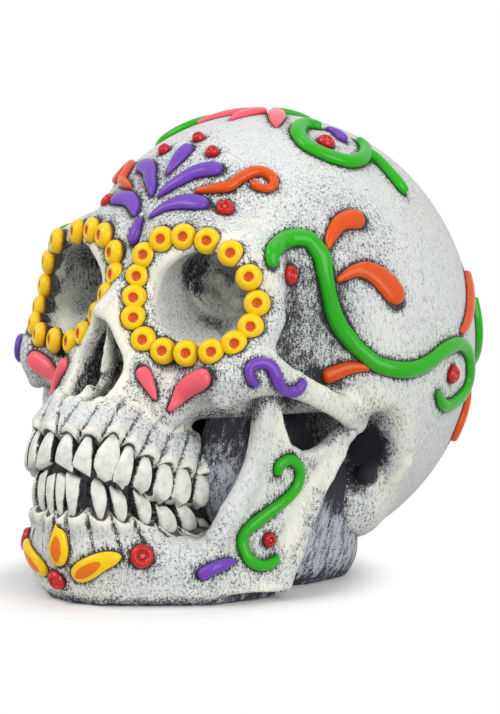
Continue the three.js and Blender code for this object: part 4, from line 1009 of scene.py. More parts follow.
def add_strip(mould, rows, height, clay, root=1.0, around=28, step=0.6):
    """Domed strip: rows give points and half widths, ends are rounded, height is the dome's at its widest."""
    line, half, run = smooth_line(rows, step)
    line = seat(line, clay)
    ends = np.minimum(run / half[0], (run[-1] - run) / half[-1])
    close = np.sqrt(np.clip(1 - (1 - np.clip(ends, 0, 1)) ** 2, 0.0004, 1))
    tall = height * np.minimum(1, half / half.max()) ** 0.5 * np.minimum(1, close * 1.15)
    half = half * close
    normal = clay.outward(line, SLOPE_REACH)
    side = unit(np.cross(unit(np.gradient(line, axis=0)), normal))
    angle = np.linspace(0, 2 * np.pi, around, endpoint=False)
    out, up = np.cos(angle), np.sin(angle)
    base = seat(line[:, None] + side[:, None] * (half[:, None] * out)[..., None], clay, 4)
    lift = clay.outward(base, SLOPE_REACH)
    rise = np.where(up > 0, tall[:, None] * np.abs(up) ** 0.7, -root * np.abs(up) ** 0.6 * close[:, None])
    rings = base + lift * rise[..., None]
    level = np.broadcast_to(np.maximum(up, 0) ** 0.7, rise.shape)
    heart = np.hypot(out / HEART_WIDE, ((run / run[-1] - HEART_MIDDLE) / HEART_LONG)[:, None])
    add_rings(mould, rings[1:-1], rings[0].mean(0), rings[-1].mean(0),
              rise=(level[1:-1], (0.3, 0.3)), heart=(heart[1:-1], (3, 3)))
    footprints[clay].append((line[::2], half[::2]))
    return mould


print("strips are ready")

# %% [markdown]
# ## Turned buttons
# Beads and gems are round, so they are made as on a lathe: a profile of radii and heights is spun about the
# direction in which the button looks. The share of the radius that its heart takes is marked for the paint.

# %% Buttons


def lathe(mould, profile, centre, normal, clay, stone, around=28):
    """Turned button: a profile of (radius, height) spun about a normal; stone is the heart's share."""
    radius, height = np.array(profile, float).T
    first = unit(np.cross(normal, (0.0, 0.0, 1.0)))
    second = np.cross(normal, first)
    angle = np.linspace(0, 2 * np.pi, around, endpoint=False)
    circle = first * np.cos(angle)[:, None] + second * np.sin(angle)[:, None]
    rings = centre + radius[:, None, None] * circle + (height[:, None] * normal)[:, None]
    heart, rise = radius / radius.max() / stone, np.clip(height / height.max(), 0, 1)
    add_rings(mould, rings[1:-1], rings[0, 0], rings[-1].mean(0),
              rise=(np.repeat(rise[1:-1, None], around, 1), (rise[0], 0)),
              heart=(np.repeat(heart[1:-1, None], around, 1), (0, 3)))
    footprints[clay].append((np.array([centre]), np.array([radius.max()])))
    return mould


print("buttons are ready")

# %% [markdown]
# ## Beads round the eyes
# Sixteen domed discs touch one another round each socket. Each is a turned button with a dimple, which is
# painted orange. Their places come from the photograph, and each looks ahead and a little outwards. One
# that would sink too deep into the skin of the face is lifted.

# %% Beads
BEAD_STONE, BEAD_SINK, BEAD_DEEPEST = 0.38, 1.7, 0.9
BEAD_PROFILE = [(0, 2.4), (0.9, 2.35), (1.5, 2.5), (1.85, 3.0), (2.3, 3.3), (2.9, 3.25), (3.7, 2.9),
                (4.35, 2.2), (4.75, 1.4), (4.95, 0.4), (4.8, -1.0), (3.0, -1.6), (0, -1.6)]
axes = bead_axes(EYE_BEADS[:-1])
ring = np.array(EYE_BEADS[:-1]) - axes * BEAD_SINK
ring = ring + skin.outward(ring, 4.0) * np.maximum(-BEAD_DEEPEST - skin.at(ring), 0)[:, None]
beads = Mould()
for spot, normal in zip(ring, axes):
    lathe(beads, BEAD_PROFILE, spot, normal, skin, BEAD_STONE)
make_piece("eye_beads_left", beads, yellow, ["eye_bead_ring_left"])
make_piece("eye_beads_right", beads.mirrored(), yellow, ["eye_bead_ring_right"])
print("beads stand from", skin.at(ring).min().round(1), "to", skin.at(ring).max().round(1), "mm off the skin")

# %% [markdown]
# ## Petals and curls of the face
# The path of each strip is a list of rows, from tail to head: a point of the left side and the half width
# there. Petals swell to a fat head like a comma, and curls keep their width. Every strip is made again as a
# mirror image.

# %% Face strips
PETAL, SCROLL = 2.6, 3.2


def make_pair(name, mould, paint):
    """Makes a piece of the left side, and its mirror image on the right."""
    make_piece(name + "_left_trim", mould, paint, [name + "_left"])
    make_piece(name + "_right_trim", mould.mirrored(), paint, [name + "_right"])


def make_pairs(pairs):
    """Makes pairs of pieces from rows of a name, a paint, a height, a clay and the paths of the strips."""
    for name, paint, height, clay, strips in pairs:
        mould = Mould()
        for rows in strips:
            add_strip(mould, rows, height, clay)
        make_pair(name, mould, paint)
    print(len(pairs), "pairs of strips")


make_pairs([
    ("forehead_petal_long", purple, PETAL, skin, [[
        (1.6, -55.3, 146.2, 0.5), (3.6, -52.8, 149, 1.8), (7.3, -49.6, 152.1, 2.5),
        (11.2, -45.7, 155.1, 3), (15.9, -42.8, 156.4, 3.4), (20.8, -40.6, 156.5, 2.7)]]),
    ("forehead_petal_low", purple, PETAL, skin, [[
        (3.6, -62.4, 139, 0.5), (5.6, -60.3, 141.2, 1.9), (9, -57.4, 143.5, 2.9), (13.8, -55, 144.7, 3.5),
        (19.4, -53.2, 144.5, 3.7), (23.8, -51.9, 144.2, 2.9)]]),
    ("forehead_curl", orange, PETAL, skin, [[
        (15.6, -50.9, 148.4, 0.5), (18.4, -49.4, 148.9, 1.3), (22.8, -46.6, 149.7, 1.9),
        (26.5, -43.8, 150.4, 2.1), (28.2, -39.8, 153, 2.1), (29.4, -37, 154.5, 2.2),
        (30.6, -34.7, 155.5, 2.2), (32.6, -32.5, 155.7, 2.1), (35.6, -31.1, 154.4, 2),
        (37.9, -31.5, 152.4, 1.8), (38.6, -33.6, 150.2, 1.8), (36.9, -35.8, 149.6, 1.6),
        (33.8, -37.4, 150.6, 1.4), (32.4, -37, 152.2, 1)]]),
    ("cheek_petal_inner", pink, PETAL, skin, [[
        (25, -82.4, 74.6, 0.5), (23.4, -82.2, 77, 1.4), (21.6, -82.3, 79.8, 2.1), (19.9, -82.8, 83, 2.6),
        (18, -83.6, 86.2, 2)]]),
    ("cheek_petal_outer", pink, PETAL, skin, [[
        (28.4, -79.8, 70.8, 0.7), (28.6, -76.8, 73.6, 2), (30.6, -75, 76.8, 2.9), (34.5, -75, 79.9, 3.8),
        (40.2, -76.4, 82.7, 4), (44.8, -76.4, 85.2, 2.8)]]),
    ("cheekbone_squiggle", purple, PETAL, skin, [[
        (59.3, -65.8, 81, 1.2), (58.2, -68.3, 83.2, 1.6), (57.6, -68.9, 86.9, 1.7),
        (58.4, -67.4, 88.9, 1.9), (60.3, -64.6, 89.5, 2), (62.1, -62, 88, 2.1), (63.5, -61.1, 84.8, 2.1),
        (63.8, -59.3, 81, 1.9), (63.5, -55.3, 78.2, 1.9), (64.8, -51.7, 78, 2), (66.3, -49.6, 80.3, 1.7),
        (66.4, -48.2, 82.2, 1)]]),
])

# %% [markdown]
# ## Scroll and leaves of the temple
# A long green scroll starts behind the eye, runs down the temple and back above the ear, and ends in a
# hook. Orange leaves branch off it, three on the temple and two at the back. It is taller than the petals,
# as in the photograph.

# %% Temple strips
make_pairs([
    ("temple_scroll", green, SCROLL, skin, [[
        (55, -52.7, 122.3, 2), (53.8, -50.9, 128, 2.9), (51.4, -43.4, 131, 3.1),
        (50.7, -37.7, 132.1, 3.3), (52.5, -34.2, 132.2, 3.3), (54.8, -31.5, 131.2, 3.2),
        (57.4, -30, 128, 3.3), (59.3, -29.2, 124.5, 3.4), (60.3, -29.3, 120, 3.2),
        (61, -28.8, 115.7, 2.9), (61.4, -27.7, 110.2, 2.9), (61.8, -25.6, 103.9, 3.2),
        (62.9, -23.1, 98.7, 3.2), (64.8, -20, 94.1, 3.1), (66.3, -18.1, 91.3, 2.9),
        (69, -14.8, 87.6, 2.9), (72, -11.3, 84.4, 3), (75.8, -4.2, 82.4, 3.1), (77.1, 3.7, 82.1, 3.1),
        (77.4, 12.7, 84.1, 3), (77, 20.9, 87.1, 2.9), (76.1, 27.5, 88.3, 2.9), (74.4, 35.6, 88.4, 2.8),
        (72, 43.5, 85, 2.8), (70.2, 47.7, 80, 2.8), (68.9, 49.3, 73.4, 2.7), (69.5, 45.9, 69, 2.6),
        (71.5, 38, 66.2, 2.6), (73.4, 29.1, 65.3, 2.4), (74.8, 23.4, 67.5, 2.1), (76.2, 19.5, 72, 1.4)]]),
    ("temple_leaf_upper", orange, PETAL, skin, [[
        (59.5, -26.4, 127.6, 0.8), (58.7, -24, 131.3, 2), (58.4, -21.1, 134.2, 2.6),
        (58.3, -17.7, 136.8, 3.1), (58.8, -14.4, 137.8, 3.6), (59.7, -10.9, 138, 4),
        (61, -6.6, 137.4, 3.2)]]),
    ("temple_leaf_middle", orange, PETAL, skin, [[
        (62.8, -25.6, 116, 0.8), (64.6, -22, 118.1, 1.8), (66.1, -18.1, 119.7, 2.4),
        (67.5, -14.2, 119.8, 3.3), (69, -10.7, 118.4, 4), (70.5, -7.9, 116.2, 4.6),
        (71.9, -5.3, 113.4, 5), (73.2, -3.3, 110.1, 4.8), (74.2, -2.4, 106.3, 3.4)]]),
    ("temple_leaf_lower", orange, PETAL, skin, [[
        (69.6, -14.2, 82.5, 0.6), (68.5, -15.4, 83.4, 1.4), (66.4, -17.6, 83.8, 2),
        (63.8, -20.4, 83.4, 2.5), (60.9, -24, 81.8, 2.9), (58.2, -28, 79.8, 2.8)]]),
    ("back_leaf_upper", orange, PETAL, skin, [[
        (73.6, 37.2, 92.6, 0.8), (72.2, 41.6, 94, 2), (69.3, 48.4, 98.1, 2.8), (65.4, 54.4, 103.7, 3.3),
        (62.2, 58.2, 108.3, 3.3), (58.3, 62, 113.2, 2.5)]]),
    ("back_leaf_lower", orange, PETAL, skin, [[
        (66.3, 53.5, 70, 0.7), (64.7, 54.4, 65.1, 1.9), (62.9, 54.4, 59.5, 2.7), (61.4, 52.8, 53.3, 3),
        (58.8, 53, 47.6, 2.2)]]),
])

# %% [markdown]
# ## Crown, jaw and chin
# A green C with a tail lies on each side of the crown, and a thinner scroll with a purple drop on each side
# of the jaw. The petals of the chin are yellow with an orange heart. Trim of the jaw is seated on the jaw's
# own clay.

# %% Crown, jaw and chin strips
make_pairs([
    ("crown_scroll", green, SCROLL, skin, [[
        (27.1, 10.5, 170.1, 1.8), (24.3, 7.9, 171.2, 2.6), (23.6, 2.8, 171.4, 3),
        (26.8, -3.7, 169.4, 3.1), (30.9, -7.3, 166.9, 3), (35.5, -8.5, 164, 3), (39.7, -6.2, 161.7, 3),
        (43.4, -2.4, 159.5, 3), (45.8, 3.1, 158.2, 3), (45.6, 10, 158.6, 3), (43, 16.9, 160.3, 2.8),
        (38.4, 22.3, 162.8, 2.5), (33.9, 23.3, 165.4, 1.8)], [
        (42, 19.3, 161.2, 2.2), (44.7, 21.2, 158.3, 2.4), (49.2, 22.4, 154, 2.4), (54.2, 24, 148.3, 2.6),
        (56.2, 25.6, 145.4, 1.4)]]),
    ("jaw_scroll", green, PETAL, jaw_skin, [[
        (56.9, -51.4, 46.4, 1.3), (57.1, -51.1, 49.8, 1.9), (57.7, -48.1, 51.7, 2),
        (58.1, -45.5, 51.7, 2), (58.5, -42.2, 49.5, 2.1), (58.5, -40.1, 45.7, 2.4),
        (58.2, -41.2, 41.4, 2.4), (57.6, -44.9, 38.2, 2.3), (56.2, -50.3, 35.5, 2.1),
        (54, -56.4, 31.8, 2.3), (52.8, -60.7, 28.7, 2.4), (52.1, -63.7, 25, 2.3),
        (51.4, -63.5, 20.3, 2.2), (52.3, -61.5, 16.1, 2.3), (54.2, -57.2, 13.9, 2),
        (56, -51.8, 14.8, 1.9), (57, -48.6, 17, 1.1)]]),
    ("jaw_drop", purple, PETAL, jaw_skin, [[
        (50.8, -67.9, 17, 0.6), (49.5, -71.6, 16.3, 1.9), (47.3, -76.2, 15, 2.2), (44.7, -79.3, 13, 2.2),
        (43.4, -80.8, 12.2, 1.8)]]),
    ("chin_petal_side", two_tone, PETAL, jaw_skin, [[
        (23.5, -99.6, 19.9, 0.5), (21.4, -101.5, 19.2, 2.4), (17.1, -104.6, 17.5, 3.6),
        (11.8, -106.6, 14.2, 4.1), (6.6, -107, 10.8, 2.8)]]),
])

# %% [markdown]
# ## Strips of the middle
# A strip on the middle line, or across it, is made once. The flower on the crown is a side petal, its
# mirror image and a front petal in one piece. The scroll of the back is continued round to its own mirror
# image, because it runs out of sight. Two drops and a stem finish the crown.

# %% Middle strips
BACK_SCROLL = [(57, 67, 103, 1.6), (58, 68, 93, 2.5), (55, 71, 84, 2.6), (45, 80, 75, 2.6), (28, 90, 69, 2.6),
               (0, 97, 66, 2.6)]
back_line = BACK_SCROLL + [(-x, y, z, half) for x, y, z, half in BACK_SCROLL[-2::-1]]
SIDE_PETAL = [(20, -8.4, 171, 0.6), (16, -3.6, 172.6, 2.4), (10, 4, 174.6, 3.5), (3, 12, 176.2, 2.8)]
FRONT_PETAL = [(0, -12, 173.6, 0.6), (0, -6, 174.8, 2), (0, 2, 175.8, 2.8), (0, 9, 176, 2.4)]
CROWN_DROP = [(26.5, 13, 170, 0.6), (29.5, 14.5, 168.7, 1.6), (32.5, 14.3, 167.4, 2.5),
              (36.2, 12.8, 165.4, 2.2)]
CROWN_STEM = [(0, 13, 176, 2), (0, 22, 175, 2.4), (0, 32, 173, 2.2), (0, 42, 169.5, 1)]
MIDDLE = [
    ("forehead_petal_centre", purple, PETAL, skin, [
        (0, -48.5, 154, 0.5), (0, -46, 156.4, 1.6), (0, -43, 158.8, 2.6), (0, -39.2, 161.7, 3.3),
        (0, -35, 164.3, 2.8)]),
    ("forehead_drop", purple, PETAL, skin, [
        (0, -62.1, 139.3, 0.5), (0, -64.9, 135.8, 1.9), (0, -66.6, 132.4, 2.6), (0, -67.8, 128.8, 2)]),
    ("back_scroll", green, SCROLL, skin, back_line),
    ("chin_petal_top", two_tone, PETAL, jaw_skin, [
        (1.2, -106.6, 32, 0.4), (1.5, -107.3, 29, 1.7), (2, -107.9, 25.5, 3.2), (2, -108.3, 21.8, 4.1),
        (1.8, -108.5, 18.2, 3.4), (1.5, -108.5, 15.2, 1.4)]),
]
side_petal = add_strip(Mould(), SIDE_PETAL, PETAL, skin)
flower = add_strip(side_petal.joined(side_petal.mirrored()), FRONT_PETAL, PETAL, skin)
make_piece("crown_flower_trim", flower, pink, ["crown_flower"])
for name, paint, height, clay, rows in MIDDLE:
    make_piece(name + "_trim", add_strip(Mould(), rows, height, clay), paint, [name])
drop = add_strip(Mould(), CROWN_DROP, PETAL, skin)
make_piece("crown_drops_trim", drop.joined(drop.mirrored()), purple, [])
make_piece("crown_stem_trim", add_strip(Mould(), CROWN_STEM, PETAL, skin), green, [])
print(len(MIDDLE) + 3, "pieces of the middle")

# %% [markdown]
# ## Gems
# Each gem is a small red ring pressed on, with a clear stone set in its middle. It is a turned button
# again: a bead of stone, a groove round it, and the domed ring.

# %% Gems
GEM_STONE, GEM_HEIGHT = 0.22, 2.4
GEM_PROFILE = np.array([(0, 0.78), (0.14, 0.76), (0.26, 0.64), (0.32, 0.5), (0.40, 0.62), (0.52, 0.92),
                        (0.66, 1.0), (0.80, 0.86), (0.92, 0.55), (1.0, 0.12), (0.97, -0.35), (0.6, -0.5),
                        (0, -0.5)])
GEMS = [("forehead_gem_top", 2.5, (0, -30.3, 167), skin),
        ("forehead_gem_inner", 2.6, (12, -36.2, 162.3), skin),
        ("forehead_gem_side", 3.4, (29.3, -49.2, 143), skin),
        ("temple_gem_front", 3.7, (55, -41.9, 119), skin),
        ("temple_gem_rear", 3.6, (75.3, 30.5, 77.2), skin), ("crown_gem", 3.6, (35.9, 2, 165.4), skin),
        ("jaw_gem", 2.6, (54.7, -53.8, 23), jaw_skin), ("chin_gem_centre", 3.9, (-2, -108, 8.8), jaw_skin),
        ("chin_gem_side", 4.4, (28, -94, 19.5), jaw_skin)]
MIDDLE_GEMS = ("forehead_gem_top", "chin_gem_centre")
for name, radius, spot, clay in GEMS:
    place = seat([spot], clay)
    normal = clay.outward(place, SLOPE_REACH)[0]
    mould = lathe(Mould(), GEM_PROFILE * (radius, GEM_HEIGHT), place[0], normal, clay, GEM_STONE)
    if name in MIDDLE_GEMS:
        make_piece(name + "_trim", mould, red, [name])
    else:
        make_pair(name, mould, red)
print(len(GEMS), "kinds of gem")

# %% [markdown]
# ## Teeth
# A crown is a rounded section carried from the gum to the biting edge. What makes it a cutting, pointed or
# grinding tooth is how its width and thickness change on the way, so each kind has a list of both. Each
# crown leans a little its own way, and its edge tilts along the row.

# %% Crowns
CROWNS = {  # shares of the way from neck to edge, then half widths and half thicknesses as shares
    "cutting": ([-0.2, 0, 0.1, 0.3, 0.55, 0.8, 0.95, 1.0], [0.08, 0.15, 0.23, 0.34, 0.43, 0.49, 0.51, 0.50],
                [0.44, 0.48, 0.50, 0.48, 0.42, 0.34, 0.26, 0.20]),
    "pointed": ([-0.2, 0, 0.1, 0.3, 0.5, 0.66, 0.88, 1.0], [0.08, 0.15, 0.23, 0.37, 0.47, 0.51, 0.42, 0.20],
                [0.46, 0.50, 0.52, 0.50, 0.46, 0.40, 0.28, 0.14]),
    "pair": ([-0.2, 0, 0.1, 0.3, 0.55, 0.8, 0.93, 1.0], [0.12, 0.20, 0.28, 0.39, 0.47, 0.51, 0.48, 0.38],
             [0.44, 0.48, 0.51, 0.52, 0.50, 0.43, 0.34, 0.20]),
    "grinding": ([-0.2, 0, 0.1, 0.3, 0.55, 0.8, 0.93, 1.0], [0.16, 0.25, 0.34, 0.43, 0.49, 0.50, 0.46, 0.35],
                 [0.42, 0.46, 0.50, 0.52, 0.50, 0.46, 0.40, 0.30]),
}
FRONT_DEPTH, BACK_DEPTH = 6.0, 9.0
FRONT_TILT, BACK_TILT = 0.38, 0.15
CUSP, SINK = 0.7, 1.2


def add_crown(mould, row, index, around=32):
    """Section |x/a|^4 + |y/b|^4 = 1 carried from neck to edge, which tilts along the row."""
    run, width, kind, longer, neck = TEETH[row][index]
    gum, away, out, along = (values[0] for values in arch_frame(row, [run]))
    edge = tooth_places(row, [run])[0][0]
    tall = np.linalg.norm(edge - gum) + neck + longer
    start = gum + away * neck
    share, half, thick = (np.array(values) for values in CROWNS[kind])
    deep = np.interp(index, [1, 5], [FRONT_DEPTH, BACK_DEPTH])
    fine = np.interp(np.linspace(0, 1, 17), np.linspace(0, 1, len(share)), np.arange(len(share)))
    share, half, thick = (np.interp(fine, np.arange(len(share)), v) for v in (share, half, thick))
    angle = np.linspace(0, 2 * np.pi, around, endpoint=False)
    x = np.sign(np.cos(angle)) * np.abs(np.cos(angle)) ** 0.5
    y = np.sign(np.sin(angle)) * np.abs(np.sin(angle)) ** 0.5
    bulge = 0.9 * np.sin(np.pi * np.clip(share, 0, 1)) + 0.4 * (1 - np.clip(share, 0, 1))
    middle = start - np.outer(share * tall, away) + np.outer(bulge - deep * 0.5, out)
    middle = middle + np.outer((share - 0.5) * 0.9 * np.sin(2.7 * index + 40 * neck), along)
    across, through = half[:, None] * width * x, thick[:, None] * deep * y
    rings = middle[:, None] + across[..., None] * along + through[..., None] * out
    tilt = np.interp(index, [2, 6], [FRONT_TILT, BACK_TILT])
    rings[..., 2] -= tilt * np.clip(share, 0, 1)[:, None] * across
    if kind in ("pair", "grinding"):
        waves = 2 if kind == "pair" else 4
        cusps = np.clip((share - 0.7) / 0.3, 0, 1)[:, None] * np.cos(waves * angle + 0.8) * CUSP
        rings = rings - cusps[..., None] * away
    if np.dot(np.cross(along, out), away) > 0:
        rings, x = rings[:, ::-1], x[::-1]
    up = np.repeat(np.clip(share, 0, 1)[:, None], around, 1)
    gap = np.broadcast_to(np.abs(x), up.shape)
    top = rings[-1].mean(0) + (SINK if kind == "grinding" else 0.0) * away
    add_rings(mould, rings, rings[0].mean(0), top, up=(up, (0, 1)), gap=(gap, (0, 0)))


print(len(CROWNS), "kinds of crown")

# %% [markdown]
# ## Enamel
# The crowns are cream with cooler patches. Black and painted shade stay at the neck and where two crowns
# meet, the biting edge is a little darker, and all of it breaks up into fine grain, as on the bone. The
# crowns of a row are one piece, as they are cast in one.

# %% Enamel


def enamel_finish():
    """Cream crowns, darkened by black and painted shade at the neck and where two crowns meet."""
    enamel = Finish("cream_enamel", Specular_IOR_Level=0.35)
    up, gap = enamel.mark("up"), enamel.mark("gap")
    fine, patch = enamel.grain(0.7, 2.0), enamel.grain(3.0, 2.0)
    # Black and painted shade at the neck and between crowns, random patches, and a little darker at the
    # biting edge
    black_and_shade = up.step(0.06, 0.0) * 0.9 + gap.step(0.86, 1.0) * 0.8 + (patch - 0.5) * 0.9
    black_and_shade = black_and_shade + up.step(0.9, 1.0) * 0.25
    cream = enamel.mix((0.86, 0.85, 0.77), (0.64, 0.66, 0.64), patch.step(0.40, 0.75))
    colour = enamel.mix(cream, (0.03, 0.032, 0.036), (black_and_shade + (fine - 0.5) * 1.2).step(0.38, 0.72))
    bump = enamel.lumps(fine * 0.4 + patch * 0.6, 0.25)
    return enamel.paint(Base_Color=colour, Roughness=0.45 + 0.2 * fine, Normal=bump)


tooth_paint = (enamel_finish(), "teeth")
for row in TEETH:
    crowns = Mould()
    for index in range(len(TEETH[row])):
        add_crown(crowns, row, index)
    make_piece(row + "_teeth", crowns.joined(crowns.mirrored()), tooth_paint, [row + "_tooth_row"])
print("two rows of teeth")

# %% [markdown]
# ## Marks for the dry brush and the painted shade
# The brush knows where the bone is hollow and where an ornament stands, and there the bone is also darkened
# as painted shade. Hollows are found from the clay itself: a point that is moved out along its normal should
# be as far from the clay as it was moved, and where it is nearer, walls stand round it. The distance to the
# nearest ornament comes from the lines and widths of the trim.

# %% Hollows, feet and gums
REACHES = ((2.5, 0.28), (6.0, 0.36), (12.0, 0.36))
FOOT_FAR, PRINT_MARGIN, GUM_FAR, MIDDLE_TRIM = 15.0, 20.0, 30.0, 3.0
GUM_HEIGHTS = {"upper": (34, 78), "lower": (-2, 46)}


def on_left(points):
    """The same points, with those of the right half mirrored to the left."""
    return np.column_stack([np.abs(points[:, 0]), points[:, 1:]])


# How enclosed a point is; it darkens the bone both as the brush's black and as painted shade
def hollow(points, normals):
    """Mean over several reaches of how much nearer the clay is than the reach, from 0 in the open to 1."""
    total = 0.0
    for reach, weight in REACHES:
        spots = points + normals * reach
        nearest = np.minimum(np.minimum(cranium.at(spots), jaw.at(spots)), filling.at(spots))
        total = total + weight * np.clip(1 - nearest / reach, 0, 1)
    return total


def foot_distance(points, prints):
    """Distance from each point to the nearest ornament's edge: to its line, less its half width there."""
    left, nearest = on_left(points), np.full(len(points), FOOT_FAR)
    for line, half in prints:
        spots = left if line[:, 0].mean() > MIDDLE_TRIM else points
        low, high = line.min(0) - PRINT_MARGIN, line.max(0) + PRINT_MARGIN
        near = np.nonzero(((spots > low) & (spots < high)).all(1))[0]
        if len(near):
            gap = np.linalg.norm(spots[near, None] - line[None], axis=-1) - half
            nearest[near] = np.minimum(nearest[near], gap.min(1))
    return nearest


def gum_marks(points, row):
    """Height past the gum's free edge, far off where there is no gum, and nearness to a gap between teeth."""
    height, gap = np.full(len(points), GUM_FAR), np.zeros(len(points))
    if row:
        left, (low, high) = on_left(points), GUM_HEIGHTS[row]
        near = np.nonzero((left[:, 2] > low) & (left[:, 2] < high) & (left[:, 1] < -56))[0]
        tall, outwards, over, nearness = gum_measures(row, left[near])
        on_gum = (outwards > -2.5) & (outwards < 6) & (over < 0.5)
        height[near[on_gum]], gap[near[on_gum]] = tall[on_gum], nearness[on_gum]
    return height, gap


print("feet of trim:", len(footprints[skin]), "on the skull and", len(footprints[jaw_skin]), "on the jaw")

# %% [markdown]
# ## Washes and painted shade
# In some places the bone is left darker: behind the frame of the eye, at the ear, under the cheek and thinly
# over the forehead and the jaw. In the hollows among these, behind the eye's frame, in the ear and under the
# cheek, the darkness is painted shade as well as the brush's black. In others the black was wiped off, such
# as on the swirl in the socket. Each is an egg with a strength, which is below zero where it was wiped. The
# filling is darker under the skull and at the floor as painted shade.

# %% Washes
WASH_AND_SHADE_EGGS = [  # middle, half sizes, strength
    ((55, -42, 98), (10, 9, 22), 1.0), ((60, -33, 106), (14, 20, 26), 0.5),
    ((50, -34, 80), (10, 18, 14), 1.0), ((34, -61, 64), (12, 9, 13), 0.6),
    ((54, 0, 48), (14, 9, 15), 2.0), ((44, -62, 70), (10, 9, 7), 0.5),
    ((45, -7, 34), (11, 7, 15), 0.9), ((60, -34, 36), (7, 9, 18), 0.5), ((16, -36, 111), (16, 13, 15), 0.2),
    ((13, -46, 118), (10, 8, 10), 1.0), ((20, -45, 99.5), (8, 8, 4), 0.5), ((31, -40, 114), (4, 9, 10), 0.5),
    ((30, -76, 78), (36, 26, 26), 0.14), ((34, -84, 12), (34, 34, 26), 0.16),
    ((56, -40, 30), (14, 22, 34), 0.15), ((12, -54, 146), (32, 22, 18), 0.22),
    ((50, -10, 30), (24, 30, 24), 0.14), ((60, -20, 132), (22, 26, 24), 0.22),
    ((56, -40, 119), (8, 8, 10), 0.6), ((44, -44, 117), (9, 12, 12), 0.7), ((42, -46, 102), (5, 8, 5), 0.4),
    ((20, -35, 105), (10, 9, 6), -0.8), ((26, -34, 112), (5, 7, 6), -0.5), ((12, -56, 108), (7, 9, 13), -0.4),
]


def egg_wash_and_shade(points):
    """Strongest darkening plus strongest wiping; an egg's is full within half of it and gone at 1.25 of it.
    """
    left = on_left(points)
    size = np.stack([np.linalg.norm((left - middle) / np.array(half), axis=1) for middle, half, _ in WASH_AND_SHADE_EGGS])
    fade = np.clip((1.25 - size) / 0.75, 0, 1)
    amount = fade * fade * (3 - 2 * fade) * np.array([[strength] for _, _, strength in WASH_AND_SHADE_EGGS])
    return amount.max(0) + amount.min(0)


def bone_wash_and_shade(points, normals, closed):
    """Dark in hollows as black and painted shade, less in the pits below the closed skin but for the nose,
    which is painted shade, and the washes above.
    """
    wash_and_shade = 0.6 * np.clip((hollow(points, normals) - 0.14) / 0.46, 0, 1)
    if closed:
        x, y, z = points.T
        pit = np.clip(-closed.at(points) / 10.0, 0, 1)
        wash_and_shade = np.maximum(wash_and_shade * (1 - 0.85 * pit), 0.06 * pit)
        # The inside of the nose is darkened as painted shade
        nose = (np.abs(x) < 11.5 - 0.5 * np.maximum(z - 90, 0)) & (y < -60)
        wash_and_shade = np.maximum(wash_and_shade, 0.85 * nose * np.clip((-closed.at(points) - 0.8) / 3.0, 0, 1))
    return np.maximum(wash_and_shade, egg_wash_and_shade(points))


def filling_shade(points):
    """Painted shade that grows upwards under the skull from a height that falls towards the back, and painted
    shade at the floor.
    """
    _, y, z = points.T
    top, most, roof = (np.interp(y, [-30, -12], ends) for ends in ([47, 22], [1.0, 1.7], [110, 72]))
    wash_and_shade = np.clip((z - top) / 16, 0, 1) * most * np.clip((roof - z) / 25, 0.4, 1)
    return np.maximum(wash_and_shade, np.clip((8 - z) / 6, 0, 1) * 0.7)


print(len(WASH_AND_SHADE_EGGS), "places washed or wiped")

# %% [markdown]
# ## The three castings
# Last of all the clay becomes meshes. Besides the darkening, foot and gum, each point is marked for how far
# it
# stands out: a point that is moved in along its normal should be as deep as it was moved, and on a ridge it
# is less. Surfaces that face down near the floor are darkened as painted shade.

# %% Castings
EDGE_REACH = 3.0


def casting(clay, name, paint, nodes, prints, row=None, closed=None):
    """Net of the clay with its marks: black and painted shade, edge where it stands out, foot of the trim,
    gum and gap.
    """
    points, faces = net(clay)
    normals = clay.outward(points)
    wash_and_shade = filling_shade(points) if clay is filling else bone_wash_and_shade(points, normals, closed)
    # Painted shade on surfaces that face down within a few millimetres of the floor, as under the jaw's
    # border
    under = np.clip((-normals[:, 2] - 0.15) / 0.4, 0, 1) * np.clip((5.0 - points[:, 2]) / 3.0, 0, 1)
    wash_and_shade = np.maximum(wash_and_shade, under * 0.75)
    edge = np.clip(1 + clay.at(points - normals * EDGE_REACH) / EDGE_REACH, 0, 1)
    foot = foot_distance(points, prints)
    height, gap = gum_marks(points, row)
    mould = Mould().add(points, [faces], wash_and_shade=wash_and_shade, edge=edge, foot=foot, gum=height, gap=gap)
    make_piece(name, mould, paint, nodes)
    print(name, len(points), "points", 2 * len(faces), "triangles, mean wash", round(float(wash_and_shade.mean()), 2),
          "mean edge", round(float(edge.mean()), 2))


casting(cranium, "cranium_casting", bone_paint, ["cranium"], footprints[skin], "upper", skin)
casting(jaw, "jaw_casting", bone_paint, ["lower_jaw"], footprints[jaw_skin], "lower")
casting(filling, "filling_casting", core_paint, ["support_core"], [])

# %% [markdown]
# ## Studio
# The photograph has a white ground with hardly a shadow. A floor takes the shadow close to the skull and
# fades out in a round further away, where the white world shows.

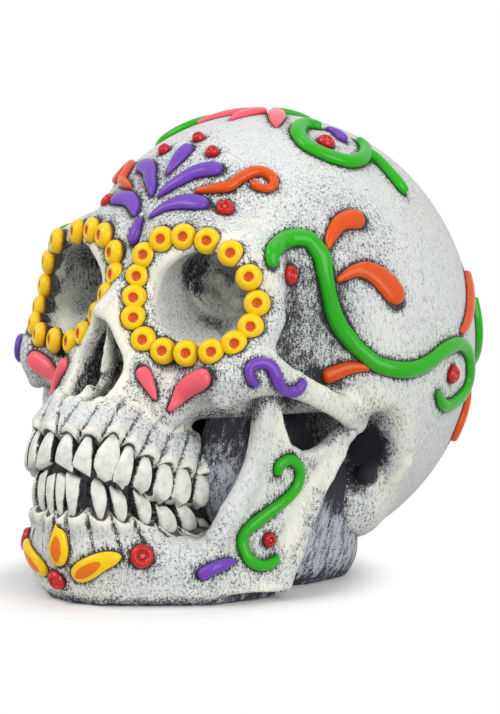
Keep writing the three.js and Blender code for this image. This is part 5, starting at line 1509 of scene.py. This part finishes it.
# %% Studio
FLOOR, FOOT_MIDDLE, FOOT_HALF, FADE = 0.3, (0.0, -0.037, 0.0), (0.062, 0.072, 1.0), (0.9, 1.3)
floor_corners = [(-FLOOR, -FLOOR, 0), (FLOOR, -FLOOR, 0), (FLOOR, FLOOR, 0), (-FLOOR, FLOOR, 0)]
floor_mesh = bpy.data.meshes.new("floor")
floor_mesh.from_pydata(floor_corners, [], [(0, 1, 2, 3)])
floor_paint = Finish("white_floor", Roughness=0.9, Specular_IOR_Level=0.1)
for operation, other in (("SUBTRACT", FOOT_MIDDLE), ("DIVIDE", FOOT_HALF)):
    terms = {0: floor_paint.place, 1: other}
    floor_paint.place = floor_paint.node("ShaderNodeVectorMath", {"operation": operation}, terms)
measure = {"operation": "LENGTH"}
away_from_skull = floor_paint.node("ShaderNodeVectorMath", measure, {0: floor_paint.place}, out="Value")
floor_paint.paint(Base_Color=(0.93, 0.93, 0.93, 1.0), Alpha=away_from_skull.step(FADE[1], FADE[0]))
floor_mesh.materials.append(floor_paint.material)
floor = bpy.data.objects.new("floor", floor_mesh)
bpy.context.scene.collection.objects.link(floor)
print("a floor of", round(2000 * FLOOR), "mm")

# %% [markdown]
# ## Light
# The world is white where the camera or a reflection sees it, and a plain grey light for everything else.
# Three lamps add a direction: a key light from the skull's front right, a fill from its left, and a weak one
# from above.

# %% Light
WORLD_LIGHT, LAMP_AIM = 0.42, Vector((0, 0, 0.09))
world = bpy.data.worlds.new("studio")
bpy.context.scene.world = world
world.use_nodes = True
sky = world.node_tree
seen, lit = sky.nodes["Background"], sky.nodes.new("ShaderNodeBackground")
seen.inputs["Color"].default_value, seen.inputs["Strength"].default_value = (1, 1, 1, 1), 1.0
lit.inputs["Color"].default_value, lit.inputs["Strength"].default_value = (1, 1, 1, 1), WORLD_LIGHT
path, either, any_ray, chosen = (sky.nodes.new(kind) for kind in (
    "ShaderNodeLightPath", "ShaderNodeMath", "ShaderNodeMath", "ShaderNodeMixShader"))
for adder, first, second in ((either, path.outputs["Is Camera Ray"], path.outputs["Is Glossy Ray"]),
                             (any_ray, either.outputs[0], path.outputs["Is Transmission Ray"])):
    adder.operation, adder.use_clamp = "ADD", True
    sky.links.new(first, adder.inputs[0])
    sky.links.new(second, adder.inputs[1])
sky.links.new(any_ray.outputs[0], chosen.inputs["Fac"])
sky.links.new(lit.outputs[0], chosen.inputs[1])
sky.links.new(seen.outputs[0], chosen.inputs[2])
sky.links.new(chosen.outputs[0], sky.nodes["World Output"].inputs["Surface"])

LAMPS = [("key", (-0.55, -1.1, 1.25), 0.9, 13.5), ("fill", (1.3, -0.4, 0.5), 1.0, 12.0),
         ("top", (0.1, 0.3, 1.6), 1.0, 3.5)]
for name, spot, size, power in LAMPS:
    lamp = bpy.data.lights.new(name, "AREA")
    lamp.size, lamp.energy = size, power
    stand = bpy.data.objects.new(name, lamp)
    stand.location = spot
    stand.rotation_euler = (Vector(spot) - LAMP_AIM).to_track_quat("Z", "Y").to_euler()
    bpy.context.scene.collection.objects.link(stand)
bpy.context.scene.view_settings.view_transform = "Standard"
print("studio with", len(LAMPS), "lamps")

# %% [markdown]
# ## The end
# The last line writes how many pieces were made.

# %% Finish
print(len(pieces), "pieces")
